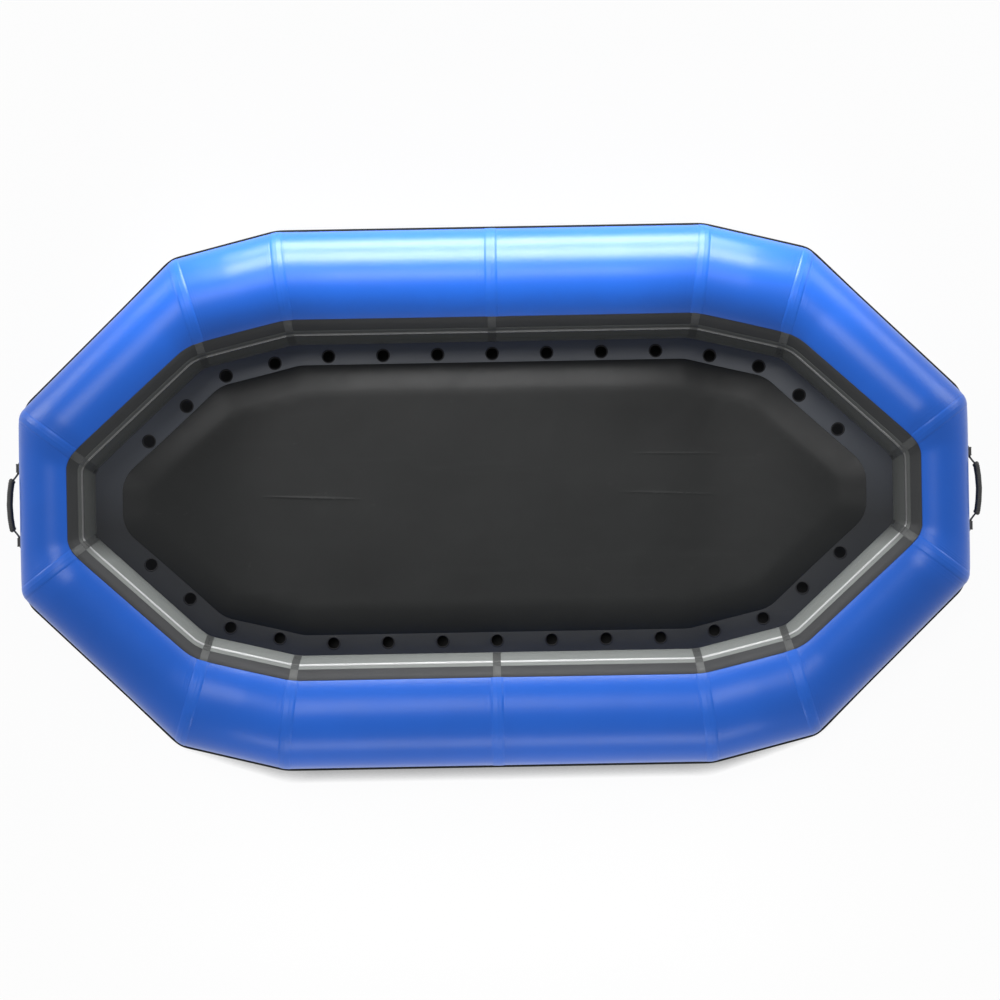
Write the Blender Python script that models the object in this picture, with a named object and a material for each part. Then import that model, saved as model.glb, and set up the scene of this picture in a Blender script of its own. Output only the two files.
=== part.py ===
"""Whitewater raft: stepped tubes, self-bailing floor, end handles and air valves.

Metres. +X points to the bow, +Y to port and +Z up. The side tubes rest on z = 0,
and the origin lies on the ground below the middle of the raft.
"""
import math

import bmesh
import bpy
from mathutils import Matrix, Vector
from mathutils.geometry import delaunay_2d_cdt

# Fits
FIT = 0.0004
SEAM_GAP = 0.0004
OVERRUN = 0.004

# Tubes: radii, and the centre line of one quarter of the raft in plan and height
FACETS = 24
TUBE_WALL = 0.0014
SIDE_RADIUS = 0.225
QUARTER_TIP_RADIUS = 0.2227
END_RADIUS = 0.1445
SIDE_HALF_LENGTH = 0.832
HALF_BEAM = 0.857
QUARTER_LENGTH = 0.3995
QUARTER_ANGLE = math.radians(14.35)
QUARTER_RISE = 0.029
END_HALF_LENGTH = 0.24483
SHOULDER_ANGLE = math.radians(45.7)
SHOULDER_RISE = 0.143
SHOULDER_SEAM_ANGLE = math.radians(16.0)
END_SEAM_ANGLE = math.radians(52.5)
END_ANGLE = math.radians(90.0)
END_OBLIQUE_ANGLE = math.radians(70.0)
SHOULDER_SEAM_RUN = 0.15
SHOULDER_TIP_RUN = 0.06
END_SEAM_RUN = 0.075

# Bulkheads between the air chambers
BULKHEAD_WALL = 0.0012
BULKHEAD_SKIRT = 0.040
BULKHEAD_CROWN = 0.060
BULKHEAD_KNEE_SHARE = 0.72

# Chafe band on the tubes' inner face, and rub strakes on the outer face
BAND_TOP_ANGLE = 127.5
BAND_FOOT_ANGLE = 187.5
BAND_THICKNESS = 0.0015
STRAKE_HALF_ANGLE = 7.5
STRAKE_CROWN_ANGLE = 4.5
STRAKE_EDGE = 0.0020
STRAKE_THICKNESS = 0.0080

# Floor: a crowned inflatable panel inside a perimeter flange with drain holes
FLANGE_THICKNESS = 0.0020
FLANGE_WIDTH = 0.075
PANEL_DEPTH = 0.070
PANEL_CROWN = 0.030
CROWN_WIDTH = 0.080
CROWN_WIDTH_SHARES = (0.25, 0.56)
PANEL_SKIN = 0.0020
PANEL_CORNER_RADIUS = 0.14
PANEL_CORNER_STEPS = 2
KICK_START = 0.85
KICK_RISE = 0.1296
KICK_RUN = 0.60
KICK_RIB_SPACING = 0.12
KICK_RIBS = 5
ATTACH_LOW_ANGLE = 255.0
ATTACH_HIGH_ANGLE = 180.0
ATTACH_FIT = 0.0006
HALVINGS = 30

# Drain holes along the flange
DRAIN_RADIUS = 0.0235
DRAIN_SIDES = 8
DRAIN_INSET = 0.040
DRAIN_SPACING = 0.225
DRAINS_EACH_WAY = 7
DRAIN_TIP_SPACING = 0.205
DRAINS_AT_TIP = 3

# Carry handles at the bow and the stern
PAD_HALF_ANGLE = 14.0
PAD_THICKNESS = 0.0025
PAD_FIT = 0.0006
PAD_WIDTH = 0.044
SLEEVE_RADIUS = 0.0090
SLEEVE_LENGTH = 0.034
SLEEVE_SIDES = 12
SLEEVE_STANDOFF = 0.0072
HANDLE_HALF_SPAN = 0.146
BEAD_RADIUS = 0.0050
BEAD_LENGTH = 0.032
HANDLE_REACH = 0.036
GRIP_RADIUS = 0.0135
GRIP_HALF_LENGTH = 0.100
GRIP_SIDES = 12
STRAP_WIDTH = 0.023
STRAP_THICKNESS = 0.0040
FOLD_WIDTH = 0.0140
FOLD_THICKNESS = 0.0080
STRAP_SIDES = 8
SHOULDER_REACH_SHARES = (0.12, 0.45, 0.75, 0.92)
GRIP_BEND_SHARES = (0.92, 0.50)

# Air valves
VALVE_SIDES = 12
VALVE_STATION = 0.45
VALVE_ANGLE = 210.0
VALVE_CLEARANCE = 0.00442
VALVE_FLANGE_RADIUS = 0.026
VALVE_FLANGE_THICKNESS = 0.0040
VALVE_BARREL_RADIUS = 0.0195
VALVE_BORE_RADIUS = 0.0160
VALVE_DEPTH = 0.030
VALVE_RETAINER_RADIUS = 0.0110
VALVE_RETAINER_THICKNESS = 0.0025
SEAT_RADIUS = 0.0100
SEAT_DEPTH = 0.0090
SEAT_THICKNESS = 0.0025
PLUNGER_DISC_RADIUS = 0.0130
PLUNGER_DISC_THICKNESS = 0.0030
PLUNGER_STEM_RADIUS = 0.0032
PLUNGER_BUTTON_RADIUS = 0.0060
PLUNGER_BUTTON_THICKNESS = 0.0030
PLUNGER_BUTTON_HEIGHT = 0.0010
SPRING_RADIUS = 0.0095
SPRING_WIRE_RADIUS = 0.0006
SPRING_TURNS = 3
SPRING_POINTS = 8
SPRING_SIDES = 3
CAP_RADIUS = 0.0245
CAP_THICKNESS = 0.0030
CAP_BEVEL = 0.0010
CAP_PLUG_DEPTH = 0.0025
CAP_PLUG_WALL = 0.0020
CAP_RIB_LENGTH = 0.040
CAP_RIB_WIDTH = 0.0060
CAP_RIB_HEIGHT = 0.0030

# Floor's own valves, under its rising ends
FLOOR_VALVE_RIB = 2
RELIEF_FLANGE_RADIUS = 0.024
RELIEF_BARREL_RADIUS = 0.0165
RELIEF_DEPTH = 0.022
RELIEF_WELL_RADIUS = 0.0100
RELIEF_LEDGE_RADIUS = 0.0060
RELIEF_STOP_RADIUS = 0.0090
RELIEF_STOP_THICKNESS = 0.0020
RELIEF_SPRING_RADIUS = 0.0078

# Worked out from the sizes above
SIDE_FLAT_RADIUS = SIDE_RADIUS * math.cos(math.pi / FACETS)
AXIS_HEIGHT = SIDE_FLAT_RADIUS
VALVE_DROP = -math.sin(math.radians(VALVE_ANGLE))
LID_REACH = VALVE_FLANGE_THICKNESS + CAP_THICKNESS + FIT * 2
LID_DROP = LID_REACH * VALVE_DROP + CAP_RADIUS * math.sqrt(1.0 - VALVE_DROP ** 2)
FLANGE_HEIGHT = AXIS_HEIGHT - SIDE_FLAT_RADIUS * VALVE_DROP - LID_DROP - VALVE_CLEARANCE
SMOOTH_ANGLE = math.radians(32.0)
Z_AXIS = Vector((0.0, 0.0, 1.0))


def clear_scene():
    for item in list(bpy.data.objects):
        bpy.data.objects.remove(item, do_unlink=True)


def make_material(name, colour, roughness, metallic=0.0):
    material = bpy.data.materials.new(name)
    material.use_nodes = True
    shader = material.node_tree.nodes["Principled BSDF"]
    shader.inputs["Base Color"].default_value = (*colour, 1.0)
    shader.inputs["Roughness"].default_value = roughness
    shader.inputs["Metallic"].default_value = metallic
    return material


def blue_tube_fabric():
    return make_material("blue_tube_fabric", (0.03, 0.17, 0.72), 0.38)


def grey_floor_fabric():
    return make_material("grey_floor_fabric", (0.035, 0.035, 0.037), 0.50)


def grey_band_fabric():
    return make_material("grey_band_fabric", (0.060, 0.060, 0.062), 0.42)


def black_rubber():
    return make_material("black_rubber", (0.012, 0.012, 0.014), 0.55)


def black_webbing():
    return make_material("black_webbing", (0.018, 0.018, 0.020), 0.80)


def bulkhead_fabric():
    return make_material("bulkhead_fabric", (0.20, 0.21, 0.23), 0.60)


def pale_stitch_threads():
    return make_material("pale_stitch_threads", (0.55, 0.56, 0.55), 0.80)


def valve_plastic():
    return make_material("valve_plastic", (0.020, 0.021, 0.024), 0.35)


def valve_grey_plastic():
    return make_material("valve_grey_plastic", (0.16, 0.16, 0.17), 0.40)


def spring_steel():
    return make_material("spring_steel", (0.60, 0.60, 0.62), 0.25, 1.0)


def add_piece(name, points, faces, material, placement=None):
    """Make one closed solid, with its points in the frame of its placement."""
    frame = placement or Matrix.Identity(4)
    mesh = bpy.data.meshes.new(name)
    shape = bmesh.new()
    corners = [shape.verts.new(point) for point in points]
    for face in faces:
        shape.faces.new([corners[index] for index in face])
    bmesh.ops.remove_doubles(shape, verts=shape.verts, dist=FIT / 100)
    bmesh.ops.dissolve_degenerate(shape, edges=shape.edges, dist=FIT / 100)
    bmesh.ops.recalc_face_normals(shape, faces=shape.faces)
    shape.to_mesh(mesh)
    shape.free()
    mesh.materials.append(material)
    mesh.shade_smooth()
    mesh.set_sharp_from_angle(angle=SMOOTH_ANGLE)
    piece = bpy.data.objects.new(name, mesh)
    bpy.context.scene.collection.objects.link(piece)
    piece.matrix_world = frame
    return piece


def loft(sections, closed):
    """Join closed sections of equal count; leave them open-ended only when closed."""
    count = len(sections[0])
    points = [point for section in sections for point in section]
    faces = []
    for row in range(len(sections) if closed else len(sections) - 1):
        here = row * count
        there = (row + 1) % len(sections) * count
        for column in range(count):
            after = (column + 1) % count
            faces.append((here + column, here + after, there + after))
            faces.append((here + column, there + after, there + column))
    if not closed:
        last = (len(sections) - 1) * count
        faces.append(tuple(range(count)))
        faces.append(tuple(reversed(range(last, last + count))))
    return points, faces


def shell(back, front, round_row, round_column):
    """Wall between two grids of points that are split along the same diagonals."""
    rows, columns = len(back), len(back[0])
    points = [point for row in back + front for point in row]
    offset = rows * columns
    last_row = rows if round_column else rows - 1
    last_column = columns if round_row else columns - 1
    faces = []
    for row in range(last_row):
        for column in range(last_column):
            here = row * columns + column
            across = row * columns + (column + 1) % columns
            ahead = (row + 1) % rows * columns + column
            beyond = (row + 1) % rows * columns + (column + 1) % columns
            faces += [(here, across, beyond), (here, beyond, ahead)]
            faces += [(offset + here, offset + beyond, offset + across),
                      (offset + here, offset + ahead, offset + beyond)]
    borders = []
    if not round_column:
        for row in (0, rows - 1):
            borders += [(row * columns + column, row * columns + (column + 1) % columns)
                        for column in range(last_column)]
    if not round_row:
        for column in (0, columns - 1):
            borders += [(row * columns + column, (row + 1) % rows * columns + column)
                        for row in range(last_row)]
    for start, end in borders:
        faces += [(start, end, offset + end), (start, offset + end, offset + start)]
    return points, faces


def lathe(profile, sides, phase=0.0):
    """Turn a closed profile of (radius, height) points about the local Z axis."""
    sections = []
    for index in range(sides):
        angle = 2 * math.pi * (index + phase) / sides
        ring = [Vector((r * math.cos(angle), r * math.sin(angle), z)) for r, z in profile]
        sections.append(ring)
    return loft(sections, closed=True)


def frame_on(origin, x_axis, y_axis):
    """Placement with its Z axis along x_axis cross y_axis."""
    z_axis = x_axis.cross(y_axis)
    turned = Matrix((x_axis, y_axis, z_axis)).transposed().to_4x4()
    return Matrix.Translation(origin) @ turned


def combine(target, tool, operation):
    """Join or cut with a hidden tool, kept as a guide."""
    tool.hide_render = True
    tool.display_type = 'WIRE'
    step = target.modifiers.new(operation.lower(), 'BOOLEAN')
    step.operation = operation
    step.object = tool
    step.solver = 'EXACT'


class Station:
    """One cross-section of the tubes: a faceted ellipse in the plane of out and up."""

    def __init__(self, centre, out, up, half_width, half_height, seam=False):
        self.centre = centre
        self.out = out
        self.up = up
        self.half_width = half_width
        self.half_height = half_height
        self.seam = seam

    def along(self):
        return self.out.cross(self.up)

    def moved(self, distance):
        centre = self.centre + self.along() * distance
        return Station(centre, self.out, self.up, self.half_width, self.half_height)

    def mirrored(self, x_sign, y_sign):
        signs = Vector((x_sign, y_sign, 1.0))
        return Station(self.centre * signs, self.out * signs, self.up * signs,
                       self.half_width, self.half_height, self.seam)

    def corner(self, index, grow=0.0):
        angle = 2 * math.pi * (index + 0.5) / FACETS
        sideways = self.out * ((self.half_width + grow) * math.cos(angle))
        upward = self.up * ((self.half_height + grow) * math.sin(angle))
        return self.centre + sideways + upward

    def skin(self, degrees, grow=0.0):
        """Point on the facets at an angle measured from out towards up."""
        place = degrees / 360.0 * FACETS - 0.5
        index = math.floor(place)
        return self.corner(index, grow).lerp(self.corner(index + 1, grow), place - index)

    def ring(self, grow=0.0):
        return [self.corner(index, grow) for index in range(FACETS)]


def heading(angle):
    """Plan direction turned from the bow towards the raft's middle line."""
    return Vector((math.cos(angle), -math.sin(angle), 0.0))


def square_station(centre, angle, slope, half_width, half_height, seam=False):
    out = Vector((math.sin(angle), math.cos(angle), 0.0))
    up = Z_AXIS * math.cos(slope) - heading(angle) * math.sin(slope)
    return Station(centre, out, up, half_width, half_height, seam)


def quarter_stations():
    """Stations from the middle of the port side to the middle of the bow tube."""
    first_bend = Vector((SIDE_HALF_LENGTH, HALF_BEAM, AXIS_HEIGHT))
    quarter_run = heading(QUARTER_ANGLE) * QUARTER_LENGTH + Z_AXIS * QUARTER_RISE
    second_bend = first_bend + quarter_run
    shoulder_length = (second_bend.y - END_HALF_LENGTH) / math.sin(SHOULDER_ANGLE)
    quarter_slope = math.atan2(QUARTER_RISE, QUARTER_LENGTH)
    shoulder_slope = math.atan2(SHOULDER_RISE, shoulder_length)
    shoulder_run = heading(SHOULDER_ANGLE) * shoulder_length + Z_AXIS * SHOULDER_RISE
    last_bend = second_bend + shoulder_run

    first_seam_width = SIDE_RADIUS / math.cos(QUARTER_ANGLE / 2)
    second_seam_width = QUARTER_TIP_RADIUS / math.cos(SHOULDER_SEAM_ANGLE - QUARTER_ANGLE)
    shoulder_root = second_seam_width * math.cos(SHOULDER_ANGLE - SHOULDER_SEAM_ANGLE)
    last_seam_width = END_RADIUS / math.cos(END_ANGLE - END_SEAM_ANGLE)
    shoulder_tip = last_seam_width * math.cos(END_SEAM_ANGLE - SHOULDER_ANGLE)
    second_seam_height = (QUARTER_TIP_RADIUS + shoulder_root) / 2
    last_seam_height = (shoulder_tip + END_RADIUS) / 2

    stations = [
        square_station(Vector((0.0, HALF_BEAM, AXIS_HEIGHT)), 0.0, 0.0,
                       SIDE_RADIUS, SIDE_RADIUS, seam=True),
        square_station(first_bend, QUARTER_ANGLE / 2, quarter_slope / 2,
                       first_seam_width, SIDE_RADIUS, seam=True),
        square_station(first_bend + quarter_run / 2, QUARTER_ANGLE, quarter_slope,
                       (SIDE_RADIUS + QUARTER_TIP_RADIUS) / 2,
                       (SIDE_RADIUS + QUARTER_TIP_RADIUS) / 2),
        square_station(second_bend, SHOULDER_SEAM_ANGLE, (quarter_slope + shoulder_slope) / 2,
                       second_seam_width, second_seam_height, seam=True),
    ]
    tip_share = (shoulder_length - SHOULDER_TIP_RUN) / shoulder_length
    root_share = SHOULDER_SEAM_RUN / shoulder_length
    for share in (root_share, tip_share):
        radius = shoulder_root + (shoulder_tip - shoulder_root) * share
        stations.append(square_station(second_bend + shoulder_run * share, SHOULDER_ANGLE,
                                       shoulder_slope, radius, radius))
    stations.append(square_station(last_bend, END_SEAM_ANGLE, shoulder_slope / 2,
                                   last_seam_width, last_seam_height, seam=True))
    oblique_width = END_RADIUS / math.cos(END_ANGLE - END_OBLIQUE_ANGLE)
    stations.append(square_station(last_bend + heading(END_ANGLE) * END_SEAM_RUN,
                                   END_OBLIQUE_ANGLE, 0.0, oblique_width, END_RADIUS))
    return stations


def end_section(quarter, y):
    """Round section of the straight bow tube at a distance from the middle line."""
    centre = Vector((quarter[-1].centre.x, y, quarter[-1].centre.z))
    return square_station(centre, END_ANGLE, 0.0, END_RADIUS, END_RADIUS)


def whole_loop(quarter):
    """Stations all round the raft, clockwise from the middle of the port side."""
    starboard_fore = [station.mirrored(1.0, -1.0) for station in reversed(quarter)]
    starboard_aft = [station.mirrored(-1.0, -1.0) for station in quarter[1:]]
    port_aft = [station.mirrored(-1.0, 1.0) for station in reversed(quarter[1:])]
    return quarter + starboard_fore + starboard_aft + port_aft


PANEL_NAMES = (
    "side_panel_port_fore", "quarter_panel_port_fore", "shoulder_panel_port_fore",
    "bow_end_panel",
    "shoulder_panel_starboard_fore", "quarter_panel_starboard_fore",
    "side_panel_starboard_fore", "side_panel_starboard_aft",
    "quarter_panel_starboard_aft", "shoulder_panel_starboard_aft",
    "stern_end_panel",
    "shoulder_panel_port_aft", "quarter_panel_port_aft", "side_panel_port_aft",
)


BOW_PORT_SEAM = PANEL_NAMES.index("bow_end_panel")
BOW_STARBOARD_SEAM = BOW_PORT_SEAM + 1
STERN_STARBOARD_SEAM = PANEL_NAMES.index("stern_end_panel")
STERN_PORT_SEAM = STERN_STARBOARD_SEAM + 1


def seam_places(loop):
    return [index for index, station in enumerate(loop) if station.seam]


def stretch_of(loop, first, last):
    """Stations from one place to another, running on past the end of the list."""
    end = last if last > first else last + len(loop)
    return [loop[index % len(loop)] for index in range(first, end + 1)]


def build_tube_panels(loop):
    """Open-ended fabric shells between the seams, all round the raft."""
    fabric = blue_tube_fabric()
    seams = seam_places(loop)
    panels = {}
    for name, first, last in zip(PANEL_NAMES, seams, seams[1:] + seams[:1]):
        stretch = stretch_of(loop, first, last)
        stretch[0] = stretch[0].moved(SEAM_GAP / 2)
        stretch[-1] = stretch[-1].moved(-SEAM_GAP / 2)
        outer = [station.ring() for station in stretch]
        inner = [station.ring(-TUBE_WALL) for station in stretch]
        panels[name] = add_piece(name, *shell(inner, outer, True, False), fabric)
    return panels


def build_bulkhead(name, centre, out, radius, material):
    """Crowned fabric bulkhead, with a skirt glued inside its tube."""
    reach = radius - TUBE_WALL - FIT
    inside = reach - BULKHEAD_WALL
    profile = [
        (reach, BULKHEAD_SKIRT), (reach, 0.0),
        (reach * BULKHEAD_KNEE_SHARE, -BULKHEAD_CROWN * BULKHEAD_KNEE_SHARE),
        (0.0, -BULKHEAD_CROWN),
        (0.0, BULKHEAD_WALL - BULKHEAD_CROWN),
        (inside * BULKHEAD_KNEE_SHARE,
         BULKHEAD_WALL - BULKHEAD_CROWN * BULKHEAD_KNEE_SHARE),
        (inside, BULKHEAD_WALL), (inside, BULKHEAD_SKIRT),
    ]
    placement = frame_on(centre, out, Z_AXIS)
    add_piece(name, *lathe(profile, FACETS, phase=0.5), material, placement)


def build_bulkheads(quarter):
    fabric = bulkhead_fabric()
    middle = quarter[0]
    bow = end_section(quarter, 0.0)
    ahead = heading(0.0)
    for side, sign in (("port", 1.0), ("starboard", -1.0)):
        centre = Vector((0.0, middle.centre.y * sign, middle.centre.z))
        build_bulkhead("bulkhead_" + side, centre, middle.out * sign, SIDE_RADIUS, fabric)
    for end, sign in (("bow", 1.0), ("stern", -1.0)):
        centre = Vector((bow.centre.x * sign, 0.0, bow.centre.z))
        build_bulkhead("bulkhead_" + end, centre, ahead * sign, END_RADIUS, fabric)


def strip_section(station, back, front):
    """Closed section on a tube's skin from two rows of (angle, height above the skin)."""
    return [station.skin(angle, height) for angle, height in back + front[::-1]]


def facet_angles(low, high):
    """Both limits, with the tube's own corners that lie between them."""
    corners = [(index + 0.5) * 360.0 / FACETS for index in range(-FACETS, FACETS)]
    return [low] + [angle for angle in corners if low < angle < high] + [high]


def build_chafe_band(loop):
    angles = facet_angles(BAND_TOP_ANGLE, BAND_FOOT_ANGLE)
    lift = FIT + BAND_THICKNESS
    back = [[station.skin(angle, FIT) for angle in angles] for station in loop]
    front = [[station.skin(angle, lift) for angle in angles] for station in loop]
    add_piece("chafe_band", *shell(back, front, False, True), grey_band_fabric())


def build_rub_strakes(loop):
    """One tapered rubber strip along each side, from end seam to end seam."""
    rubber = black_rubber()
    seams = seam_places(loop)
    back = [(angle, FIT) for angle in (-STRAKE_HALF_ANGLE, STRAKE_HALF_ANGLE)]
    front = [(-STRAKE_HALF_ANGLE, FIT + STRAKE_EDGE),
             (-STRAKE_CROWN_ANGLE, FIT + STRAKE_THICKNESS),
             (STRAKE_CROWN_ANGLE, FIT + STRAKE_THICKNESS),
             (STRAKE_HALF_ANGLE, FIT + STRAKE_EDGE)]
    for side, first, last in (("port", STERN_PORT_SEAM, BOW_PORT_SEAM),
                              ("starboard", BOW_STARBOARD_SEAM, STERN_STARBOARD_SEAM)):
        stretch = stretch_of(loop, seams[first], seams[last])
        sections = [strip_section(station, back, front) for station in stretch]
        add_piece("rub_strake_" + side, *loft(sections, closed=False), rubber)


def kick(x):
    """Height that the floor gains towards either end."""
    return KICK_RISE * (max(0.0, abs(x) - KICK_START) / KICK_RUN) ** 2


def above_flange(point):
    return point.z > FLANGE_HEIGHT + kick(point.x)


def flange_crossing(low, high):
    """Point between two others where the floor's flange passes."""
    for step in range(HALVINGS):
        middle = (low + high) / 2
        if above_flange(middle):
            high = middle
        else:
            low = middle
    return (low + high) / 2


def attach_outline(loop):
    """Plan outline where the flange meets every facet of the tubes' inner face."""
    turn = 360.0 / FACETS
    corners = range(math.floor(ATTACH_HIGH_ANGLE / turn), math.floor(ATTACH_LOW_ANGLE / turn))
    outline = []
    for here, there in zip(loop, loop[1:] + loop[:1]):
        crossings = []
        for index in corners:
            start = here.corner(index, ATTACH_FIT)
            for share_end, end in ((0.0, here.corner(index + 1, ATTACH_FIT)),
                                   (1.0, there.corner(index, ATTACH_FIT)),
                                   (1.0, there.corner(index + 1, ATTACH_FIT))):
                if above_flange(start) != above_flange(end):
                    low, high = (end, start) if above_flange(start) else (start, end)
                    point = flange_crossing(low, high)
                    share = share_end * (point - start).length / (end - start).length
                    crossings.append((share, point.to_2d()))
        outline += [point for share, point in sorted(crossings, key=lambda pair: pair[0])]
    return spaced(reversed(outline))


def spaced(points):
    """Outline without the points that fall on their neighbour."""
    outline = []
    for point in points:
        if not outline or (point - outline[-1]).length > FIT:
            outline.append(point)
    return outline


def mirrored_outline(quarter_points):
    """Outline round all four quarters from one quarter's plan points, anticlockwise."""
    port_fore = list(reversed(quarter_points))
    port_aft = [Vector((-point.x, point.y)) for point in quarter_points]
    starboard_aft = [Vector((-point.x, -point.y)) for point in port_fore]
    starboard_fore = [Vector((point.x, -point.y)) for point in quarter_points]
    return spaced(port_fore + port_aft + starboard_aft + starboard_fore)


def inset(outline, distance):
    """Move each edge of an anticlockwise convex outline inwards."""
    moved = []
    for index, corner in enumerate(outline):
        before = (corner - outline[index - 1]).normalized()
        after = (outline[(index + 1) % len(outline)] - corner).normalized()
        inward = Vector((-before.y - after.y, before.x + after.x)).normalized()
        lean = inward.dot(Vector((-before.y, before.x)))
        moved.append(corner + inward * (distance / lean))
    return moved


def rounded(outline, radius, steps):
    """Replace each corner of a convex outline by an arc that touches both edges."""
    points = []
    for index, corner in enumerate(outline):
        before = (corner - outline[index - 1]).normalized()
        after = (outline[(index + 1) % len(outline)] - corner).normalized()
        bend = before.angle(after)
        tangent = radius * math.tan(bend / 2)
        start = corner - before * tangent
        centre = start + Vector((-before.y, before.x)) * radius
        for step in range(steps + 1):
            turn = Matrix.Rotation(bend * step / steps, 2)
            points.append(centre + turn @ (start - centre))
    return points


def inside_depth(outline, x, y):
    """Distance from a point to the nearest edge line of a convex outline."""
    depths = []
    for index, corner in enumerate(outline):
        edge = corner - outline[index - 1]
        away = Vector((x, y)) - corner
        depths.append((edge.x * away.y - edge.y * away.x) / edge.length)
    return min(depths)


def contains(outline, x, y):
    inside = False
    for index, corner in enumerate(outline):
        before = outline[index - 1]
        if (corner.y > y) != (before.y > y):
            crossing = corner.x + (y - corner.y) * (before.x - corner.x) / (before.y - corner.y)
            inside = inside != (x < crossing)
    return inside


def within(outline, holes=()):
    """Test for a plan point that lies inside an outline and outside its holes."""
    def test(x, y):
        return contains(outline, x, y) and not any(contains(hole, x, y) for hole in holes)
    return test


def slab(lines, keep, top, bottom):
    """Solid between two height functions over the cells of a plan that pass a test."""
    plan = []
    edges = []
    for line in lines:
        start = len(plan)
        plan.extend(line)
        edges.extend((start + index, start + (index + 1) % len(line))
                     for index in range(len(line)))
    result = delaunay_2d_cdt(plan, edges, [], 1, FIT / 100)
    verts, triangles = result[0], result[2]
    cells = []
    for triangle in triangles:
        middle = sum((verts[index] for index in triangle), Vector((0.0, 0.0))) / len(triangle)
        if keep(*middle):
            cells.append(triangle)
    used = sorted({index for cell in cells for index in cell})
    order = {index: place for place, index in enumerate(used)}
    cells = [tuple(order[index] for index in cell) for cell in cells]
    count = len(used)
    points = [Vector((*verts[index], top(*verts[index]))) for index in used]
    points += [Vector((*verts[index], bottom(*verts[index]))) for index in used]
    faces = list(cells)
    faces += [tuple(count + index for index in reversed(cell)) for cell in cells]
    sides = {pair for cell in cells for pair in zip(cell, cell[1:] + cell[:1])}
    for first, last in sorted(sides):
        if (last, first) not in sides:
            faces.append((last, first, count + first))
            faces.append((last, count + first, count + last))
    return points, faces


def half_width_at(outline, x):
    """Largest y of an outline at a distance along the raft."""
    for before, after in zip(outline, outline[1:] + outline[:1]):
        if min(before.x, after.x) <= x < max(before.x, after.x) and before.y + after.y > 0:
            return before.y + (x - before.x) / (after.x - before.x) * (after.y - before.y)
    return 0.0


def kick_lines(outline):
    """Straight plan lines across the rising ends, inside an outline."""
    lines = []
    for rib in range(KICK_RIBS):
        x = KICK_START + KICK_RIB_SPACING * rib
        reach = half_width_at(outline, x)
        if reach > 0.0:
            lines.append([Vector((x, -reach)), Vector((x, reach))])
            lines.append([Vector((-x, -reach)), Vector((-x, reach))])
    return lines


def ribbed(outline):
    """Outline with an added point wherever a row of the rising ends meets it."""
    rows = [KICK_START + KICK_RIB_SPACING * rib for rib in range(KICK_RIBS)]
    points = []
    for start, end in zip(outline, outline[1:] + outline[:1]):
        points.append(start)
        shares = [(row * sign - start.x) / (end.x - start.x)
                  for row in rows for sign in (1.0, -1.0) if abs(end.x - start.x) > FIT]
        points += [start.lerp(end, share) for share in sorted(shares) if 0.0 < share < 1.0]
    return spaced(points)


def walk(points, distance):
    """Point at a distance along an open run of plan points."""
    for start, end in zip(points, points[1:]):
        length = (end - start).length
        if distance <= length:
            return start.lerp(end, distance / length)
        distance -= length
    return points[-1]


def drain_centres(silhouette):
    """Centres of all the drain holes, evenly spaced along the flange."""
    line = inset(mirrored_outline(silhouette), DRAIN_INSET)
    quarter = [point for point in line if point.x > 0.0 and point.y > 0.0]
    run = [Vector((0.0, quarter[-1].y))] + list(reversed(quarter))
    places = [DRAIN_SPACING * index for index in range(DRAINS_EACH_WAY - DRAINS_AT_TIP + 1)]
    for index in range(DRAINS_AT_TIP):
        places.append(places[-1] + DRAIN_TIP_SPACING)
    fore = [walk(run, place) for place in places]
    centres = []
    for point in fore:
        for x_sign in ((1.0, -1.0) if point.x > FIT else (1.0,)):
            centres += [Vector((point.x * x_sign, point.y * sign)) for sign in (1.0, -1.0)]
    return centres


def drain_outline(centre):
    points = []
    for side in range(DRAIN_SIDES):
        angle = 2 * math.pi * (side + 0.5) / DRAIN_SIDES
        points.append(centre + DRAIN_RADIUS * Vector((math.cos(angle), math.sin(angle))))
    return points


def inner_silhouette(quarter):
    """Plan points of the tubes' inner outline at each bend."""
    bends = [station for station in quarter if station.seam][1:]
    return [(station.centre - station.out * station.half_width).to_2d() for station in bends]


def flange_top(x, y):
    return FLANGE_HEIGHT + kick(x)


def flange_foot(x, y):
    return flange_top(x, y) - FLANGE_THICKNESS


def panel_foot(x, y):
    return flange_top(x, y) - PANEL_DEPTH


def core_foot(x, y):
    return panel_foot(x, y) + PANEL_SKIN + FIT


def build_drain_flange(loop, silhouette, panel, fabric):
    """Perimeter strip between the tubes and the inflated panel, with its drain holes."""
    attach = attach_outline(loop)
    drains = [drain_outline(centre) for centre in drain_centres(silhouette)]
    holes = [ribbed(inset(panel, -FIT))] + drains
    solid = slab([attach] + holes, within(attach, holes), flange_top, flange_foot)
    add_piece("drain_flange", *solid, fabric)


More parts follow.
